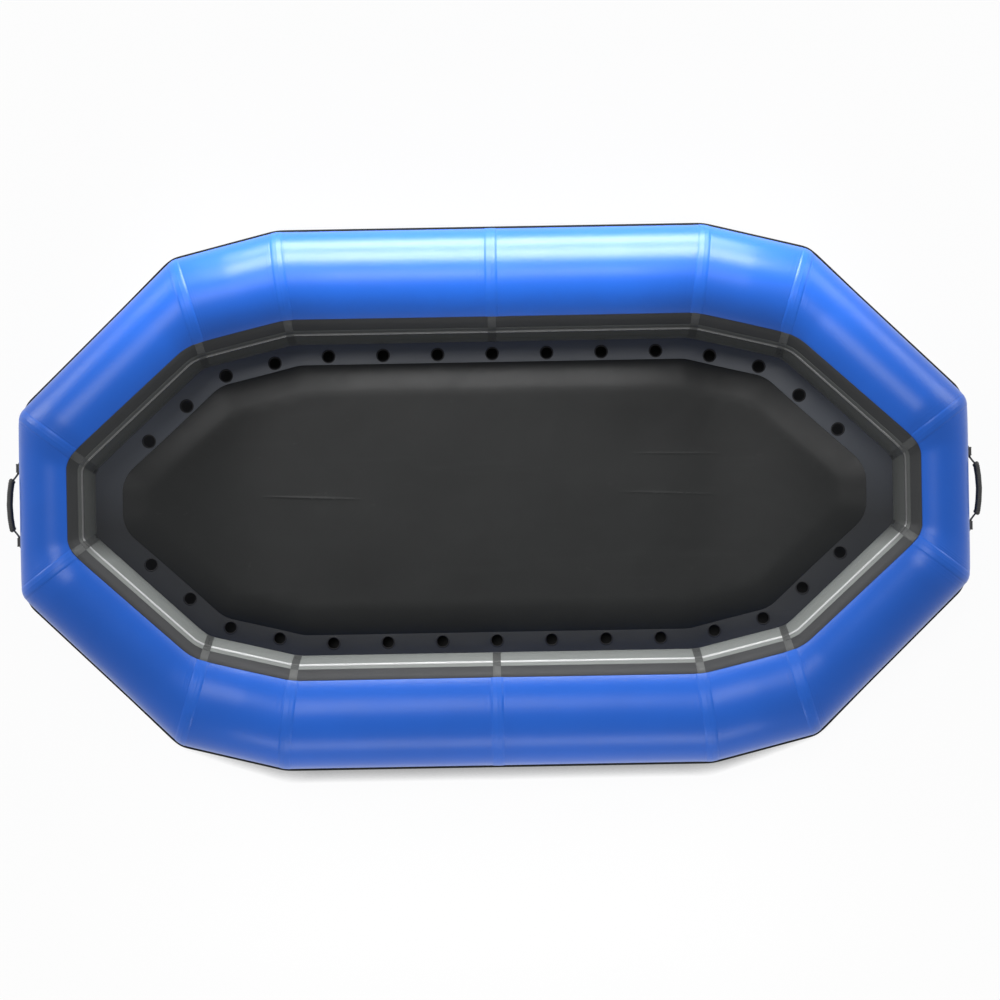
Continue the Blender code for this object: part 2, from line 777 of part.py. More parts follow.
def build_floor(loop, quarter):
    silhouette = inner_silhouette(quarter)
    fabric = grey_floor_fabric()
    panel_corners = inset(mirrored_outline(silhouette), FLANGE_WIDTH)
    panel = rounded(panel_corners, PANEL_CORNER_RADIUS, PANEL_CORNER_STEPS)
    wall_inner = inset(panel, PANEL_SKIN)
    core_edge = inset(panel, PANEL_SKIN + FIT)
    rows = [inset(panel, CROWN_WIDTH * share) for share in CROWN_WIDTH_SHARES]
    flat = inset(panel_corners, CROWN_WIDTH)
    outlines = [ribbed(line) for line in [panel, core_edge, flat] + rows]
    plan = outlines + kick_lines(flat)

    def panel_top(x, y):
        share = min(1.0, max(0.0, inside_depth(panel, x, y)) / CROWN_WIDTH)
        return flange_top(x, y) + PANEL_CROWN * math.sin(share * math.pi / 2)

    def skin_underside(x, y):
        return panel_top(x, y) - PANEL_SKIN

    def core_top(x, y):
        return skin_underside(x, y) - FIT

    def lower_skin_top(x, y):
        return panel_foot(x, y) + PANEL_SKIN

    def wall_top(x, y):
        return flange_top(x, y) - PANEL_SKIN - FIT

    build_drain_flange(loop, silhouette, panel, fabric)
    add_piece("floor_top_skin", *slab(plan, within(panel), panel_top, skin_underside), fabric)
    core = add_piece("floor_core", *slab(plan, within(core_edge), core_top, core_foot),
                     pale_stitch_threads())
    lower = add_piece("floor_bottom_skin",
                      *slab(plan, within(panel), lower_skin_top, panel_foot), fabric)
    wall = slab([ribbed(panel), ribbed(wall_inner)], within(panel, [wall_inner]), wall_top,
                core_foot)
    add_piece("floor_side_wall", *wall, fabric)
    return core, lower


def cylinder_tool(name, radius, low, high, placement, sides):
    profile = [(0.0, high), (radius, high), (radius, low), (0.0, low)]
    return add_piece(name, *lathe(profile, sides), black_rubber(), placement)


def handle_path(end_x, sign):
    """Plan points of a handle from port to starboard, with each section's sizes."""
    bead = BEAD_RADIUS * 2
    fold_start = GRIP_HALF_LENGTH + STRAP_THICKNESS
    sleeve_mouth = HANDLE_HALF_SPAN - SLEEVE_LENGTH / 2
    lift, rise, near, far = SHOULDER_REACH_SHARES
    wide, narrow = (GRIP_HALF_LENGTH * share for share in GRIP_BEND_SHARES)
    half = [
        (HANDLE_HALF_SPAN + BEAD_LENGTH / 2, 0.0, bead, bead),
        (sleeve_mouth - STRAP_THICKNESS, 0.0, bead, bead),
        (sleeve_mouth - BEAD_RADIUS * 2, HANDLE_REACH * lift, STRAP_WIDTH, STRAP_THICKNESS),
        (fold_start, HANDLE_REACH * rise, STRAP_WIDTH, STRAP_THICKNESS),
        (wide, HANDLE_REACH * near, FOLD_WIDTH, FOLD_THICKNESS),
        (narrow, HANDLE_REACH * far, FOLD_WIDTH, FOLD_THICKNESS),
    ]
    middle = [(0.0, HANDLE_REACH, FOLD_WIDTH, FOLD_THICKNESS)]
    rows = half + middle + [(-y, reach, width, depth) for y, reach, width, depth in reversed(half)]
    return [(Vector((sign * reach, y, 0.0)), width, depth) for y, reach, width, depth in rows]


def path_rings(path, sides, width_of, depth_of):
    """Elliptic rings square to a plan path, wide along Z."""
    rings = []
    for index, (point, width, depth) in enumerate(path):
        before = path[max(index - 1, 0)][0]
        after = path[min(index + 1, len(path) - 1)][0]
        along = (after - before).normalized()
        across = along.cross(Z_AXIS)
        ring = []
        for side in range(sides):
            angle = 2 * math.pi * (side + 0.5) / sides
            ring.append(point + Z_AXIS * (width_of(width) / 2 * math.sin(angle))
                        + across * (depth_of(depth) / 2 * math.cos(angle)))
        rings.append(ring)
    return rings


def trimmed_to_grip(path):
    """The part of the handle's path that the grip covers, ending square at its ends."""
    kept = [row for row in path if abs(row[0].y) < GRIP_HALF_LENGTH]
    outer = [row for row in path if abs(row[0].y) >= GRIP_HALF_LENGTH]
    first = [row for row in outer if row[0].y > 0][-1]
    last = [row for row in outer if row[0].y < 0][0]
    ends = []
    for inner_row, outer_row in ((kept[0], first), (kept[-1], last)):
        span = abs(outer_row[0].y) - abs(inner_row[0].y)
        share = (GRIP_HALF_LENGTH - abs(inner_row[0].y)) / span
        ends.append((inner_row[0].lerp(outer_row[0], share), inner_row[1], inner_row[2]))
    return [ends[0]] + kept + [ends[1]]


def build_handle(end, sign, quarter, webbing, rubber):
    """Webbing loop with a rubber grip, turning in two glued patches."""
    pad_front = end_section(quarter, 0.0).skin(0.0, PAD_FIT + PAD_THICKNESS)
    axis_x = (pad_front.x + SLEEVE_STANDOFF) * sign
    pivot = Vector((axis_x, 0.0, pad_front.z))
    path = handle_path(axis_x, sign)
    frame = Matrix.Translation(pivot)
    strap = path_rings(path, STRAP_SIDES, lambda size: size, lambda size: size)
    add_piece(end + "_handle_webbing", *loft(strap, closed=False), webbing, frame)

    covered = trimmed_to_grip(path)
    outer = path_rings(covered, GRIP_SIDES, lambda size: GRIP_RADIUS * 2,
                       lambda size: GRIP_RADIUS * 2)
    bore_width = math.hypot(FOLD_WIDTH, STRAP_THICKNESS) + GRIP_RADIUS / 2
    inner = path_rings(covered, GRIP_SIDES, lambda size: bore_width, lambda size: bore_width)
    add_piece(end + "_handle_grip", *shell(inner, outer, True, False), rubber, frame)

    for side, way in (("port", 1.0), ("starboard", -1.0)):
        build_handle_patch(end + "_handle_patch_" + side, sign, way, pivot, quarter, rubber)


def build_handle_patch(name, sign, way, pivot, quarter, rubber):
    """Glued pad that follows the end tube, with the sleeve that holds the webbing's end."""
    angles = facet_angles(-PAD_HALF_ANGLE, PAD_HALF_ANGLE)
    back = [(angle, PAD_FIT) for angle in angles]
    front = [(angle, PAD_FIT + PAD_THICKNESS) for angle in angles]
    signs = Vector((sign, way, 1.0))
    sections = []
    for place in (HANDLE_HALF_SPAN - PAD_WIDTH / 2, HANDLE_HALF_SPAN + PAD_WIDTH / 2):
        section = strip_section(end_section(quarter, place), back, front)
        sections.append([point * signs for point in section])
    patch = add_piece(name, *loft(sections, closed=False), rubber)
    centre = Vector((pivot.x, HANDLE_HALF_SPAN * way, pivot.z))
    placement = frame_on(centre, Z_AXIS, heading(0.0))
    half = SLEEVE_LENGTH / 2
    tube = cylinder_tool(name + "_tube", SLEEVE_RADIUS, -half, half, placement, SLEEVE_SIDES)
    bore = cylinder_tool(name + "_bore", bead_bore_radius(), -half - OVERRUN, half + OVERRUN,
                         placement, SLEEVE_SIDES)
    combine(patch, tube, 'UNION')
    combine(patch, bore, 'DIFFERENCE')


def bead_bore_radius():
    """Corner radius of the sleeve's bore, so that its flats clear the turning bead."""
    return (BEAD_RADIUS + FIT) / math.cos(math.pi / SLEEVE_SIDES)


def build_handles(quarter):
    webbing = black_webbing()
    rubber = black_rubber()
    for end, sign in (("bow", 1.0), ("stern", -1.0)):
        build_handle(end, sign, quarter, webbing, rubber)


def spring_coil(name, radius, low, high, placement, steel):
    """Round wire coil between two heights, one unbroken tube."""
    start = low + SPRING_WIRE_RADIUS
    climb = high - low - SPRING_WIRE_RADIUS * 2
    steps = SPRING_TURNS * SPRING_POINTS
    rings = []
    for step in range(steps + 1):
        angle = 2 * math.pi * step / SPRING_POINTS
        radial = Vector((math.cos(angle), math.sin(angle), 0.0))
        centre = radial * radius + Z_AXIS * (start + climb * step / steps)
        ring = []
        for side in range(SPRING_SIDES):
            turn = 2 * math.pi * side / SPRING_SIDES
            ring.append(centre + radial * (SPRING_WIRE_RADIUS * math.cos(turn))
                        + Z_AXIS * (SPRING_WIRE_RADIUS * math.sin(turn)))
        rings.append(ring)
    add_piece(name, *loft(rings, closed=False), steel, placement)


def build_valve(place, placement):
    """Push-to-open air valve: body, sprung plunger and quarter-turn cap, along local Z."""
    black = valve_plastic()
    grey = valve_grey_plastic()
    seat_top = -SEAT_DEPTH
    seat_foot = seat_top - SEAT_THICKNESS
    foot = -VALVE_DEPTH
    shelf = foot + VALVE_RETAINER_THICKNESS
    top = FIT + VALVE_FLANGE_THICKNESS
    body = [
        (VALVE_BORE_RADIUS, top), (VALVE_FLANGE_RADIUS - CAP_BEVEL, top),
        (VALVE_FLANGE_RADIUS, top - CAP_BEVEL), (VALVE_FLANGE_RADIUS, FIT),
        (VALVE_BARREL_RADIUS, FIT), (VALVE_BARREL_RADIUS, foot),
        (VALVE_RETAINER_RADIUS, foot), (VALVE_RETAINER_RADIUS, shelf),
        (VALVE_BORE_RADIUS, shelf), (VALVE_BORE_RADIUS, seat_foot),
        (SEAT_RADIUS, seat_foot), (SEAT_RADIUS, seat_top), (VALVE_BORE_RADIUS, seat_top),
    ]
    add_piece("valve_body_" + place, *lathe(body, VALVE_SIDES), black, placement)

    disc_top = seat_foot - FIT
    disc_foot = disc_top - PLUNGER_DISC_THICKNESS
    button_foot = PLUNGER_BUTTON_HEIGHT - PLUNGER_BUTTON_THICKNESS
    plunger = [
        (0.0, PLUNGER_BUTTON_HEIGHT), (PLUNGER_BUTTON_RADIUS, PLUNGER_BUTTON_HEIGHT),
        (PLUNGER_BUTTON_RADIUS, button_foot), (PLUNGER_STEM_RADIUS, button_foot),
        (PLUNGER_STEM_RADIUS, disc_top), (PLUNGER_DISC_RADIUS, disc_top),
        (PLUNGER_DISC_RADIUS, disc_foot), (0.0, disc_foot),
    ]
    add_piece("valve_plunger_" + place, *lathe(plunger, VALVE_SIDES), grey, placement)
    spring_coil("valve_spring_" + place, SPRING_RADIUS, shelf + FIT, disc_foot - FIT,
                placement, spring_steel())

    cap_foot = top + FIT
    cap_top = cap_foot + CAP_THICKNESS
    plug = (VALVE_BORE_RADIUS - FIT * 2) * math.cos(math.pi / VALVE_SIDES)
    cap = [
        (0.0, cap_top), (CAP_RADIUS - CAP_BEVEL, cap_top), (CAP_RADIUS, cap_top - CAP_BEVEL),
        (CAP_RADIUS, cap_foot), (plug, cap_foot), (plug, top - CAP_PLUG_DEPTH),
        (plug - CAP_PLUG_WALL, top - CAP_PLUG_DEPTH), (plug - CAP_PLUG_WALL, cap_foot),
        (0.0, cap_foot),
    ]
    lid = add_piece("valve_cap_" + place, *lathe(cap, VALVE_SIDES), black, placement)
    rib = box_tool("valve_rib_" + place, CAP_RIB_LENGTH, CAP_RIB_WIDTH,
                   cap_top - CAP_BEVEL, cap_top + CAP_RIB_HEIGHT, placement)
    combine(lid, rib, 'UNION')


def box_tool(name, length, width, low, high, placement):
    corners = [(length / 2, width / 2), (-length / 2, width / 2),
               (-length / 2, -width / 2), (length / 2, -width / 2)]
    sections = [[Vector((x, y, z)) for x, y in corners] for z in (low, high)]
    return add_piece(name, *loft(sections, closed=False), black_rubber(), placement)


def cut_for_valve(panel, name, placement, radius):
    tool = cylinder_tool(name, (radius + FIT) / math.cos(math.pi / VALVE_SIDES),
                         -VALVE_DEPTH, VALVE_DEPTH, placement, VALVE_SIDES)
    combine(panel, tool, 'DIFFERENCE')


def build_tube_valves(panels):
    """One valve for each air chamber, low on the inner face of each side panel."""
    angle = math.radians(VALVE_ANGLE)
    for side, y_sign in (("port", 1.0), ("starboard", -1.0)):
        for part, x_sign in (("fore", 1.0), ("aft", -1.0)):
            place = side + "_" + part
            reach = Vector((0.0, math.cos(angle) * y_sign, math.sin(angle)))
            centre = Vector((VALVE_STATION * x_sign, HALF_BEAM * y_sign, AXIS_HEIGHT))
            placement = frame_on(centre + reach * SIDE_FLAT_RADIUS, heading(0.0),
                                 reach.cross(heading(0.0)))
            build_valve(place, placement)
            cut_for_valve(panels["side_panel_" + place], "valve_cut_" + place, placement,
                          VALVE_BARREL_RADIUS)


def floor_valve_placement(sign):
    """Place square to the floor's underside, between two rows of its rising end."""
    rear = KICK_START + KICK_RIB_SPACING * FLOOR_VALVE_RIB
    front = rear + KICK_RIB_SPACING
    start = Vector((rear * sign, 0.0, panel_foot(rear, 0.0)))
    end = Vector((front * sign, 0.0, panel_foot(front, 0.0)))
    along = (end - start).normalized() * sign
    return frame_on((start + end) / 2, along, Vector((0.0, -1.0, 0.0)))


def build_floor_valves(core, lower_skin):
    """Inflation valve and pressure relief valve under the floor's rising ends."""
    placement = floor_valve_placement(1.0)
    build_valve("floor", placement)
    for piece, name in ((core, "floor_valve_core_cut"), (lower_skin, "floor_valve_skin_cut")):
        cut_for_valve(piece, name, placement, VALVE_BARREL_RADIUS)
    placement = floor_valve_placement(-1.0)
    build_relief_valve(placement)
    for piece, name in ((core, "relief_core_cut"), (lower_skin, "relief_skin_cut")):
        cut_for_valve(piece, name, placement, RELIEF_BARREL_RADIUS)


def build_relief_valve(placement):
    """Spring-loaded poppet that opens outwards when the floor's pressure is too high."""
    top = FIT + VALVE_FLANGE_THICKNESS
    seat_top = top - SEAT_THICKNESS - PLUNGER_DISC_THICKNESS
    ledge_foot = seat_top - SEAT_THICKNESS
    mouth = PLUNGER_DISC_RADIUS + FIT * 2
    body = [
        (mouth, top), (RELIEF_FLANGE_RADIUS, top), (RELIEF_FLANGE_RADIUS, FIT),
        (RELIEF_BARREL_RADIUS, FIT), (RELIEF_BARREL_RADIUS, -RELIEF_DEPTH),
        (RELIEF_WELL_RADIUS, -RELIEF_DEPTH), (RELIEF_WELL_RADIUS, ledge_foot),
        (RELIEF_LEDGE_RADIUS, ledge_foot), (RELIEF_LEDGE_RADIUS, seat_top), (mouth, seat_top),
    ]
    add_piece("relief_valve_body", *lathe(body, VALVE_SIDES), valve_plastic(), placement)
    disc_foot = seat_top + FIT
    disc_top = disc_foot + PLUNGER_DISC_THICKNESS
    stop_top = RELIEF_STOP_THICKNESS - RELIEF_DEPTH
    poppet = [
        (0.0, disc_top), (PLUNGER_DISC_RADIUS, disc_top), (PLUNGER_DISC_RADIUS, disc_foot),
        (PLUNGER_STEM_RADIUS, disc_foot), (PLUNGER_STEM_RADIUS, stop_top),
        (RELIEF_STOP_RADIUS, stop_top), (RELIEF_STOP_RADIUS, -RELIEF_DEPTH),
        (0.0, -RELIEF_DEPTH),
    ]
    add_piece("relief_valve_poppet", *lathe(poppet, VALVE_SIDES), valve_grey_plastic(), placement)
    spring_coil("relief_valve_spring", RELIEF_SPRING_RADIUS, stop_top + FIT, ledge_foot - FIT,
                placement, spring_steel())


def main():
    clear_scene()
    quarter = quarter_stations()
    loop = whole_loop(quarter)
    panels = build_tube_panels(loop)
    build_bulkheads(quarter)
    build_chafe_band(loop)
    build_rub_strakes(loop)
    core, lower_skin = build_floor(loop, quarter)
    build_handles(quarter)
    build_tube_valves(panels)
    build_floor_valves(core, lower_skin)


main()
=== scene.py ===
import math

import bpy
import numpy as np
from mathutils import Matrix, Vector
from mathutils.geometry import delaunay_2d_cdt


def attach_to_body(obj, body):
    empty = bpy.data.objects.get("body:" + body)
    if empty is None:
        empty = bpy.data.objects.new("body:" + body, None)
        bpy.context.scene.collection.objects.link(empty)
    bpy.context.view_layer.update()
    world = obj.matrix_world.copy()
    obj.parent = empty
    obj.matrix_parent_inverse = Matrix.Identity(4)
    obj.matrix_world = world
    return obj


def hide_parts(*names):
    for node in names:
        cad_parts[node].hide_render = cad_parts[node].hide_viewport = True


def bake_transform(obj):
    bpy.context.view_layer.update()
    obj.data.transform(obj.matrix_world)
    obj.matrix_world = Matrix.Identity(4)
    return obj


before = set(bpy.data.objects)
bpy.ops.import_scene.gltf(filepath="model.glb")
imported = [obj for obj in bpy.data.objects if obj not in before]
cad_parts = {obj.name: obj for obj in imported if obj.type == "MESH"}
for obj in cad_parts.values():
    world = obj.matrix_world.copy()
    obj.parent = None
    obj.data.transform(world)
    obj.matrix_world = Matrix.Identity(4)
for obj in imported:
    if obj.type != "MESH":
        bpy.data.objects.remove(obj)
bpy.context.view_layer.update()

# Tube stations of one quarter, in metres and degrees: centre, plan angle of the outward
# direction, slope of the run, half width and half height.
STATIONS = (
    ((0.00000, 0.85700, 0.22308), 0.0000, 0.0000, 0.22500, 0.22500),
    ((0.83200, 0.85700, 0.22308), 7.1750, 2.0759, 0.22678, 0.22500),
    ((1.02552, 0.80749, 0.23758), 14.3500, 4.1519, 0.22385, 0.22385),
    ((1.21904, 0.75799, 0.25208), 16.0000, 7.7155, 0.22279, 0.20811),
    ((1.32380, 0.65063, 0.28199), 45.7000, 11.2791, 0.19087, 0.19087),
    ((1.67790, 0.28777, 0.38311), 45.7000, 11.2791, 0.18192, 0.18192),
    ((1.71980, 0.24483, 0.39508), 52.5000, 5.6395, 0.18214, 0.16268),
    ((1.71980, 0.16983, 0.39508), 70.0000, 0.0000, 0.15377, 0.14450),
)
SEAM_STATIONS = (0, 1, 3, 6)
COLUMNS = 96
INNER_ROWS = 15
SAMPLE = 0.004
BEND_SPREAD = 0.016
FABRIC = 0.0014
INNER_STEP = 6
GIRTH = 1.40
TAPE_HALF = 0.025

# Where the band covers them, tapes are sunk and both they and the skin take its colour.
TAPE_RETURN = 212.0
TAPE_SUNK = -0.0004
COVERED_FOOT = 187.0
COVERED_AT_CORNER = 207.0
CORNER_COVER = 0.05
PUCKER_REACH = 0.072

# Distance from the seam, width and height of each fold beside it.
FOLDS = ((0.0315, 0.0026, 0.00070), (0.0405, 0.0030, 0.00050), (0.0510, 0.0038, 0.00035))

BAND_TOP = 130.5
BAND_FOOT = 187.5
BAND_TOP_BY_RADIUS = ((0.154, 118.2), (0.182, 125.0), (0.191, 128.0), (0.2228, 130.5))
SHARP_SEAMS = (3, 4, 10, 11)
CORNER_LIFT = 0.0026
CORNER_REACH = 0.035
CORNER_TAPE_HALF = 0.016
STRAKE_HALF = 0.0295
STRAKE_END = 0.0250
SIDE_RADIUS = 0.225

FLANGE_HEIGHT = 0.082
FLANGE_THICKNESS = 0.0020
FLANGE_WIDTH = 0.075
FLANGE_FALL = 0.003
PANEL_CROWN = 0.025
PANEL_DEPTH = 0.070
CROWN_WIDTH = 0.115
CROWN_POWER = 1.35
FIT = 0.0004
CORE_FIT = 0.0015
PANEL_SKIN = 0.0020
PANEL_RADIUS = 0.14
# The floor rises towards the ends from here, by this much over this run.
KICK_START = 0.85
KICK_RISE = 0.1296
KICK_RUN = 0.60
DRAIN_RADIUS = 0.0235
DRAIN_INSET = 0.040
DRAIN_PITCH = 0.225
DRAIN_END_PITCH = 0.205
HOLE_SIDES = 40

# Start, end and height of each crease.
FLOOR_CREASES = (
    ((-0.957, 0.018), (-0.544, 0.000), 0.0011), ((0.507, 0.014), (0.911, -0.005), 0.0008),
    ((0.564, 0.170), (0.935, 0.163), 0.0006),
)
# Corners of one quarter of the tubes' inner outline, seen from above.
SILHOUETTE = ((0.8037, 0.6320), (1.1576, 0.5438), (1.5753, 0.1340))

HANDLE_X = 1.873337
HANDLE_Z = 0.395075
END_AXIS_X = 1.71980
END_RADIUS = 0.1445
PATCH_Y = 0.146
STRAP_SIDES = 24
SPRING_WIRE = 0.0006

PANEL_NAMES = (
    "side_panel_port_fore", "quarter_panel_port_fore", "shoulder_panel_port_fore",
    "bow_end_panel",
    "shoulder_panel_starboard_fore", "quarter_panel_starboard_fore",
    "side_panel_starboard_fore", "side_panel_starboard_aft",
    "quarter_panel_starboard_aft", "shoulder_panel_starboard_aft",
    "stern_end_panel",
    "shoulder_panel_port_aft", "quarter_panel_port_aft", "side_panel_port_aft",
)

# Between these distances along Y the starboard side takes a lighter colour: painted light, for the
# side that faces the port lamps.
PAINTED_LIGHT_SIDE = (-0.13, -0.22)
WHITE = (1.0, 1.0, 1.0, 1.0)
PAPER_HALF = 40.0
random = np.random.default_rng(7)


# ---- materials


class Graph:
    """A node tree under construction. A socket given as a value is linked, the rest is set."""

    def __init__(self, tree):
        self.tree = tree

    def put(self, socket, value):
        if isinstance(value, bpy.types.NodeSocket):
            self.tree.links.new(value, socket)
        elif value is not None:
            socket.default_value = value

    def node(self, kind, output, inputs, **settings):
        """One output of a new node."""
        made = self.tree.nodes.new("ShaderNode" + kind)
        for key, value in settings.items():
            setattr(made, key, value)
        for key, value in inputs.items():
            self.put(made.inputs[key], value)
        return made.outputs[output]

    def math(self, operation, first, second, clamp=False):
        return self.node("Math", 0, {0: first, 1: second}, operation=operation, use_clamp=clamp)

    def seen_directly(self):
        """1 for rays from the camera, in a reflection or through a clear piece, else 0."""
        path = self.tree.nodes.new("ShaderNodeLightPath").outputs
        seen = self.math("MAXIMUM", path["Is Camera Ray"], path["Is Glossy Ray"])
        return self.math("MAXIMUM", seen, path["Is Transmission Ray"])


class Paint(Graph):
    """A node material with the Principled shader as its end."""

    def __init__(self, name, colour, roughness, specular=0.5):
        self.material = bpy.data.materials.new(name)
        self.material.use_nodes = True
        self.material.diffuse_color = (*colour, 1.0)
        super().__init__(self.material.node_tree)
        self.shader = self.tree.nodes["Principled BSDF"]
        self.colour = colour
        self.set("Base Color", (*colour, 1.0))
        self.set("Roughness", roughness)
        self.set("Specular IOR Level", specular)

    def set(self, socket, value):
        self.put(self.shader.inputs[socket], value)
        return value

    def place(self, uv=False, scale=(1.0, 1.0, 1.0)):
        """Coordinates in metres, of the mesh itself or along its surface."""
        where = self.node("TexCoord", "UV" if uv else "Object", {})
        return self.node("Mapping", "Vector", {"Vector": where, "Scale": scale})

    def noise(self, scale, detail=3.0, rough=0.6, uv=False, stretch=(1.0, 1.0, 1.0)):
        return self.node("TexNoise", "Fac", {"Vector": self.place(uv, stretch), "Scale": scale,
                                             "Detail": detail, "Roughness": rough})

    def wave(self, pitch, way, distortion=0.4, uv=True):
        """Threads a given distance apart along X or Y."""
        return self.node("TexWave", "Fac", {"Vector": self.place(uv), "Distortion": distortion,
                                            "Scale": math.pi / 10.0 / pitch}, bands_direction=way)

    def weave(self, pitch, uv=True):
        return self.math("ADD", self.wave(pitch, "X", uv=uv), self.wave(pitch, "Y", uv=uv))

    def ramp(self, source, low, high, top=1.0):
        """From 0 at a low value to top at a high one."""
        made = self.tree.nodes.new("ShaderNodeValToRGB")
        self.put(made.inputs["Fac"], source)
        for end, position, value in zip(made.color_ramp.elements, (low, high), (0.0, top)):
            end.position, end.color = position, (value, value, value, 1.0)
        return made.outputs["Color"]

    def side(self, start, end):
        """Mask that grows from 0 to 1 between two distances along Y."""
        across = self.node("SeparateXYZ", "Y", {0: self.place()})
        return self.node("MapRange", "Result", {"Value": across, "From Min": start,
                                                "From Max": end})

    def mix(self, share, first, second):
        """Base colour between two others."""
        return self.set("Base Color", self.node(
            "Mix", "Result", {"Factor": share, "A": first, "B": second}, data_type="RGBA"))

    def tint(self, share, low, high):
        """Base colour that runs between two shades of itself."""
        return self.mix(share, *[(*[part * level for part in self.colour], 1.0)
                                 for level in (low, high)])

    def over(self, base, share, colour):
        """A second colour laid over the first by a mask."""
        return self.mix(share, base, (*colour, 1.0))

    def gloss(self, source, low, high):
        self.set("Roughness", self.node("MapRange", "Result", {"Value": source, "To Min": low,
                                                               "To Max": high}))

    def bump(self, source, height, strength, before=None):
        return self.set("Normal", self.node("Bump", "Normal", {
            "Height": source, "Distance": height, "Strength": strength, "Normal": before}))


def blue_fabric():
    paint = Paint("blue_coated_fabric", (0.006, 0.090, 0.470), 0.32, 0.32)
    paint.tint(paint.ramp(paint.noise(1.7), 0.3, 0.7), 0.93, 1.07)
    paint.gloss(paint.noise(5.0, 4.0), 0.28, 0.37)
    slack = paint.bump(paint.noise(3.2, 2.0, 0.5), 0.004, 0.35)
    grain = paint.bump(paint.noise(900.0, 2.0), 0.00012, 0.5, slack)
    paint.bump(paint.weave(0.0016), 0.00005, 0.35, grain)
    return paint.material


def tape_fabric():
    paint = Paint("blue_seam_tape", (0.007, 0.096, 0.490), 0.34, 0.33)
    paint.tint(paint.noise(14.0), 0.9, 1.1)
    paint.gloss(paint.noise(20.0), 0.30, 0.44)
    slack = paint.bump(paint.noise(60.0, uv=True, stretch=(1.0, 0.12, 1.0)), 0.0006, 0.5)
    paint.bump(paint.noise(900.0, 2.0), 0.00012, 0.5, slack)
    return paint.material


def floor_fabric(name, colour, roughness, specular, painted_sheen=None):
    """Dark coated fabric with rubbed streaks along the raft and faint scuffs, and where asked a
    painted sheen towards port.
    """
    paint = Paint(name, colour, roughness, specular)
    base = paint.tint(paint.ramp(paint.noise(2.6, 4.0, 0.65), 0.25, 0.75), 0.82, 1.2)
    # The optional lighter bluish colour towards port is a painted sheen: painted light where the
    # flange faces the lamps.
    if painted_sheen:
        base = paint.over(base, paint.side(-0.10, 0.30), painted_sheen)
    streak = paint.noise(7.0, 4.0, 0.7, stretch=(0.12, 1.6, 1.0))
    rubbed = tuple(part * 1.7 for part in colour)
    base = paint.over(base, paint.ramp(streak, 0.60, 0.76, 0.35), rubbed)
    scuff = paint.noise(11.0, 6.0, 0.75, stretch=(1.0, 1.3, 1.0))
    paint.over(base, paint.ramp(scuff, 0.66, 0.74, 0.30), (0.045, 0.047, 0.046))
    paint.gloss(paint.noise(6.0, 5.0, 0.7), roughness * 0.82, roughness * 1.22)
    slack = paint.bump(paint.noise(4.5, 2.0, 0.5), 0.004, 0.5)
    grain = paint.bump(paint.noise(700.0, 2.0), 0.00020, 0.6, slack)
    paint.bump(paint.weave(0.0022, False), 0.00008, 0.5, grain)
    return paint.material


def band_fabric(name, colour, roughness, specular, painted_light):
    """Grey coated fabric, with a lighter colour on the starboard side: painted light, where the
    band faces the lamps.
    """
    paint = Paint(name, colour, roughness, specular)
    along = {"uv": True, "stretch": (0.2, 1.0, 1.0)}
    base = paint.tint(paint.noise(9.0, 4.0, 0.7, **along), 0.85, 1.15)
    paint.over(base, paint.side(*PAINTED_LIGHT_SIDE), painted_light)
    paint.gloss(paint.noise(12.0, 4.0, **along), roughness * 0.85, roughness * 1.15)
    grain = paint.bump(paint.noise(1100.0, 2.0), 0.00015, 0.7)
    paint.bump(paint.weave(0.0014), 0.00010, 0.6, grain)
    return paint.material


def rubber(name, colour, roughness, grain_scale=500.0, specular=0.45, painted_light=None):
    paint = Paint(name, colour, roughness, specular)
    base = paint.tint(paint.noise(30.0), 0.8, 1.25)
    # A lighter colour on the starboard side is painted light.
    if painted_light:
        paint.over(base, paint.side(*PAINTED_LIGHT_SIDE), painted_light)
    paint.gloss(paint.noise(40.0, 4.0), roughness * 0.8, roughness * 1.2)
    paint.bump(paint.noise(grain_scale), 0.00020, 0.6)
    return paint.material


def webbing_fabric(name, colour):
    """Woven strap with ribs across it."""
    paint = Paint(name, colour, 0.62, 0.35)
    both = paint.math("MULTIPLY", paint.wave(0.0018, "X", 0.6), paint.wave(0.0009, "Y", 0.3))
    paint.tint(both, 0.55, 1.5)
    paint.bump(both, 0.00035, 0.9)
    paint.set("Sheen Weight", 0.2)
    return paint.material


def plastic(name, colour, roughness):
    paint = Paint(name, colour, roughness)
    paint.tint(paint.noise(80.0), 0.9, 1.1)
    paint.gloss(paint.noise(120.0, 4.0), roughness * 0.85, roughness * 1.15)
    paint.bump(paint.noise(1600.0, 2.0), 0.00006, 0.5)
    return paint.material


def steel(name):
    paint = Paint(name, (0.60, 0.61, 0.62), 0.24)
    paint.set("Metallic", 1.0)
    paint.tint(paint.noise(200.0), 0.85, 1.1)
    paint.gloss(paint.noise(300.0, 4.0), 0.18, 0.32)
    paint.bump(paint.noise(2500.0, 2.0), 0.00003, 0.4)
    return paint.material


# ---- mesh helpers


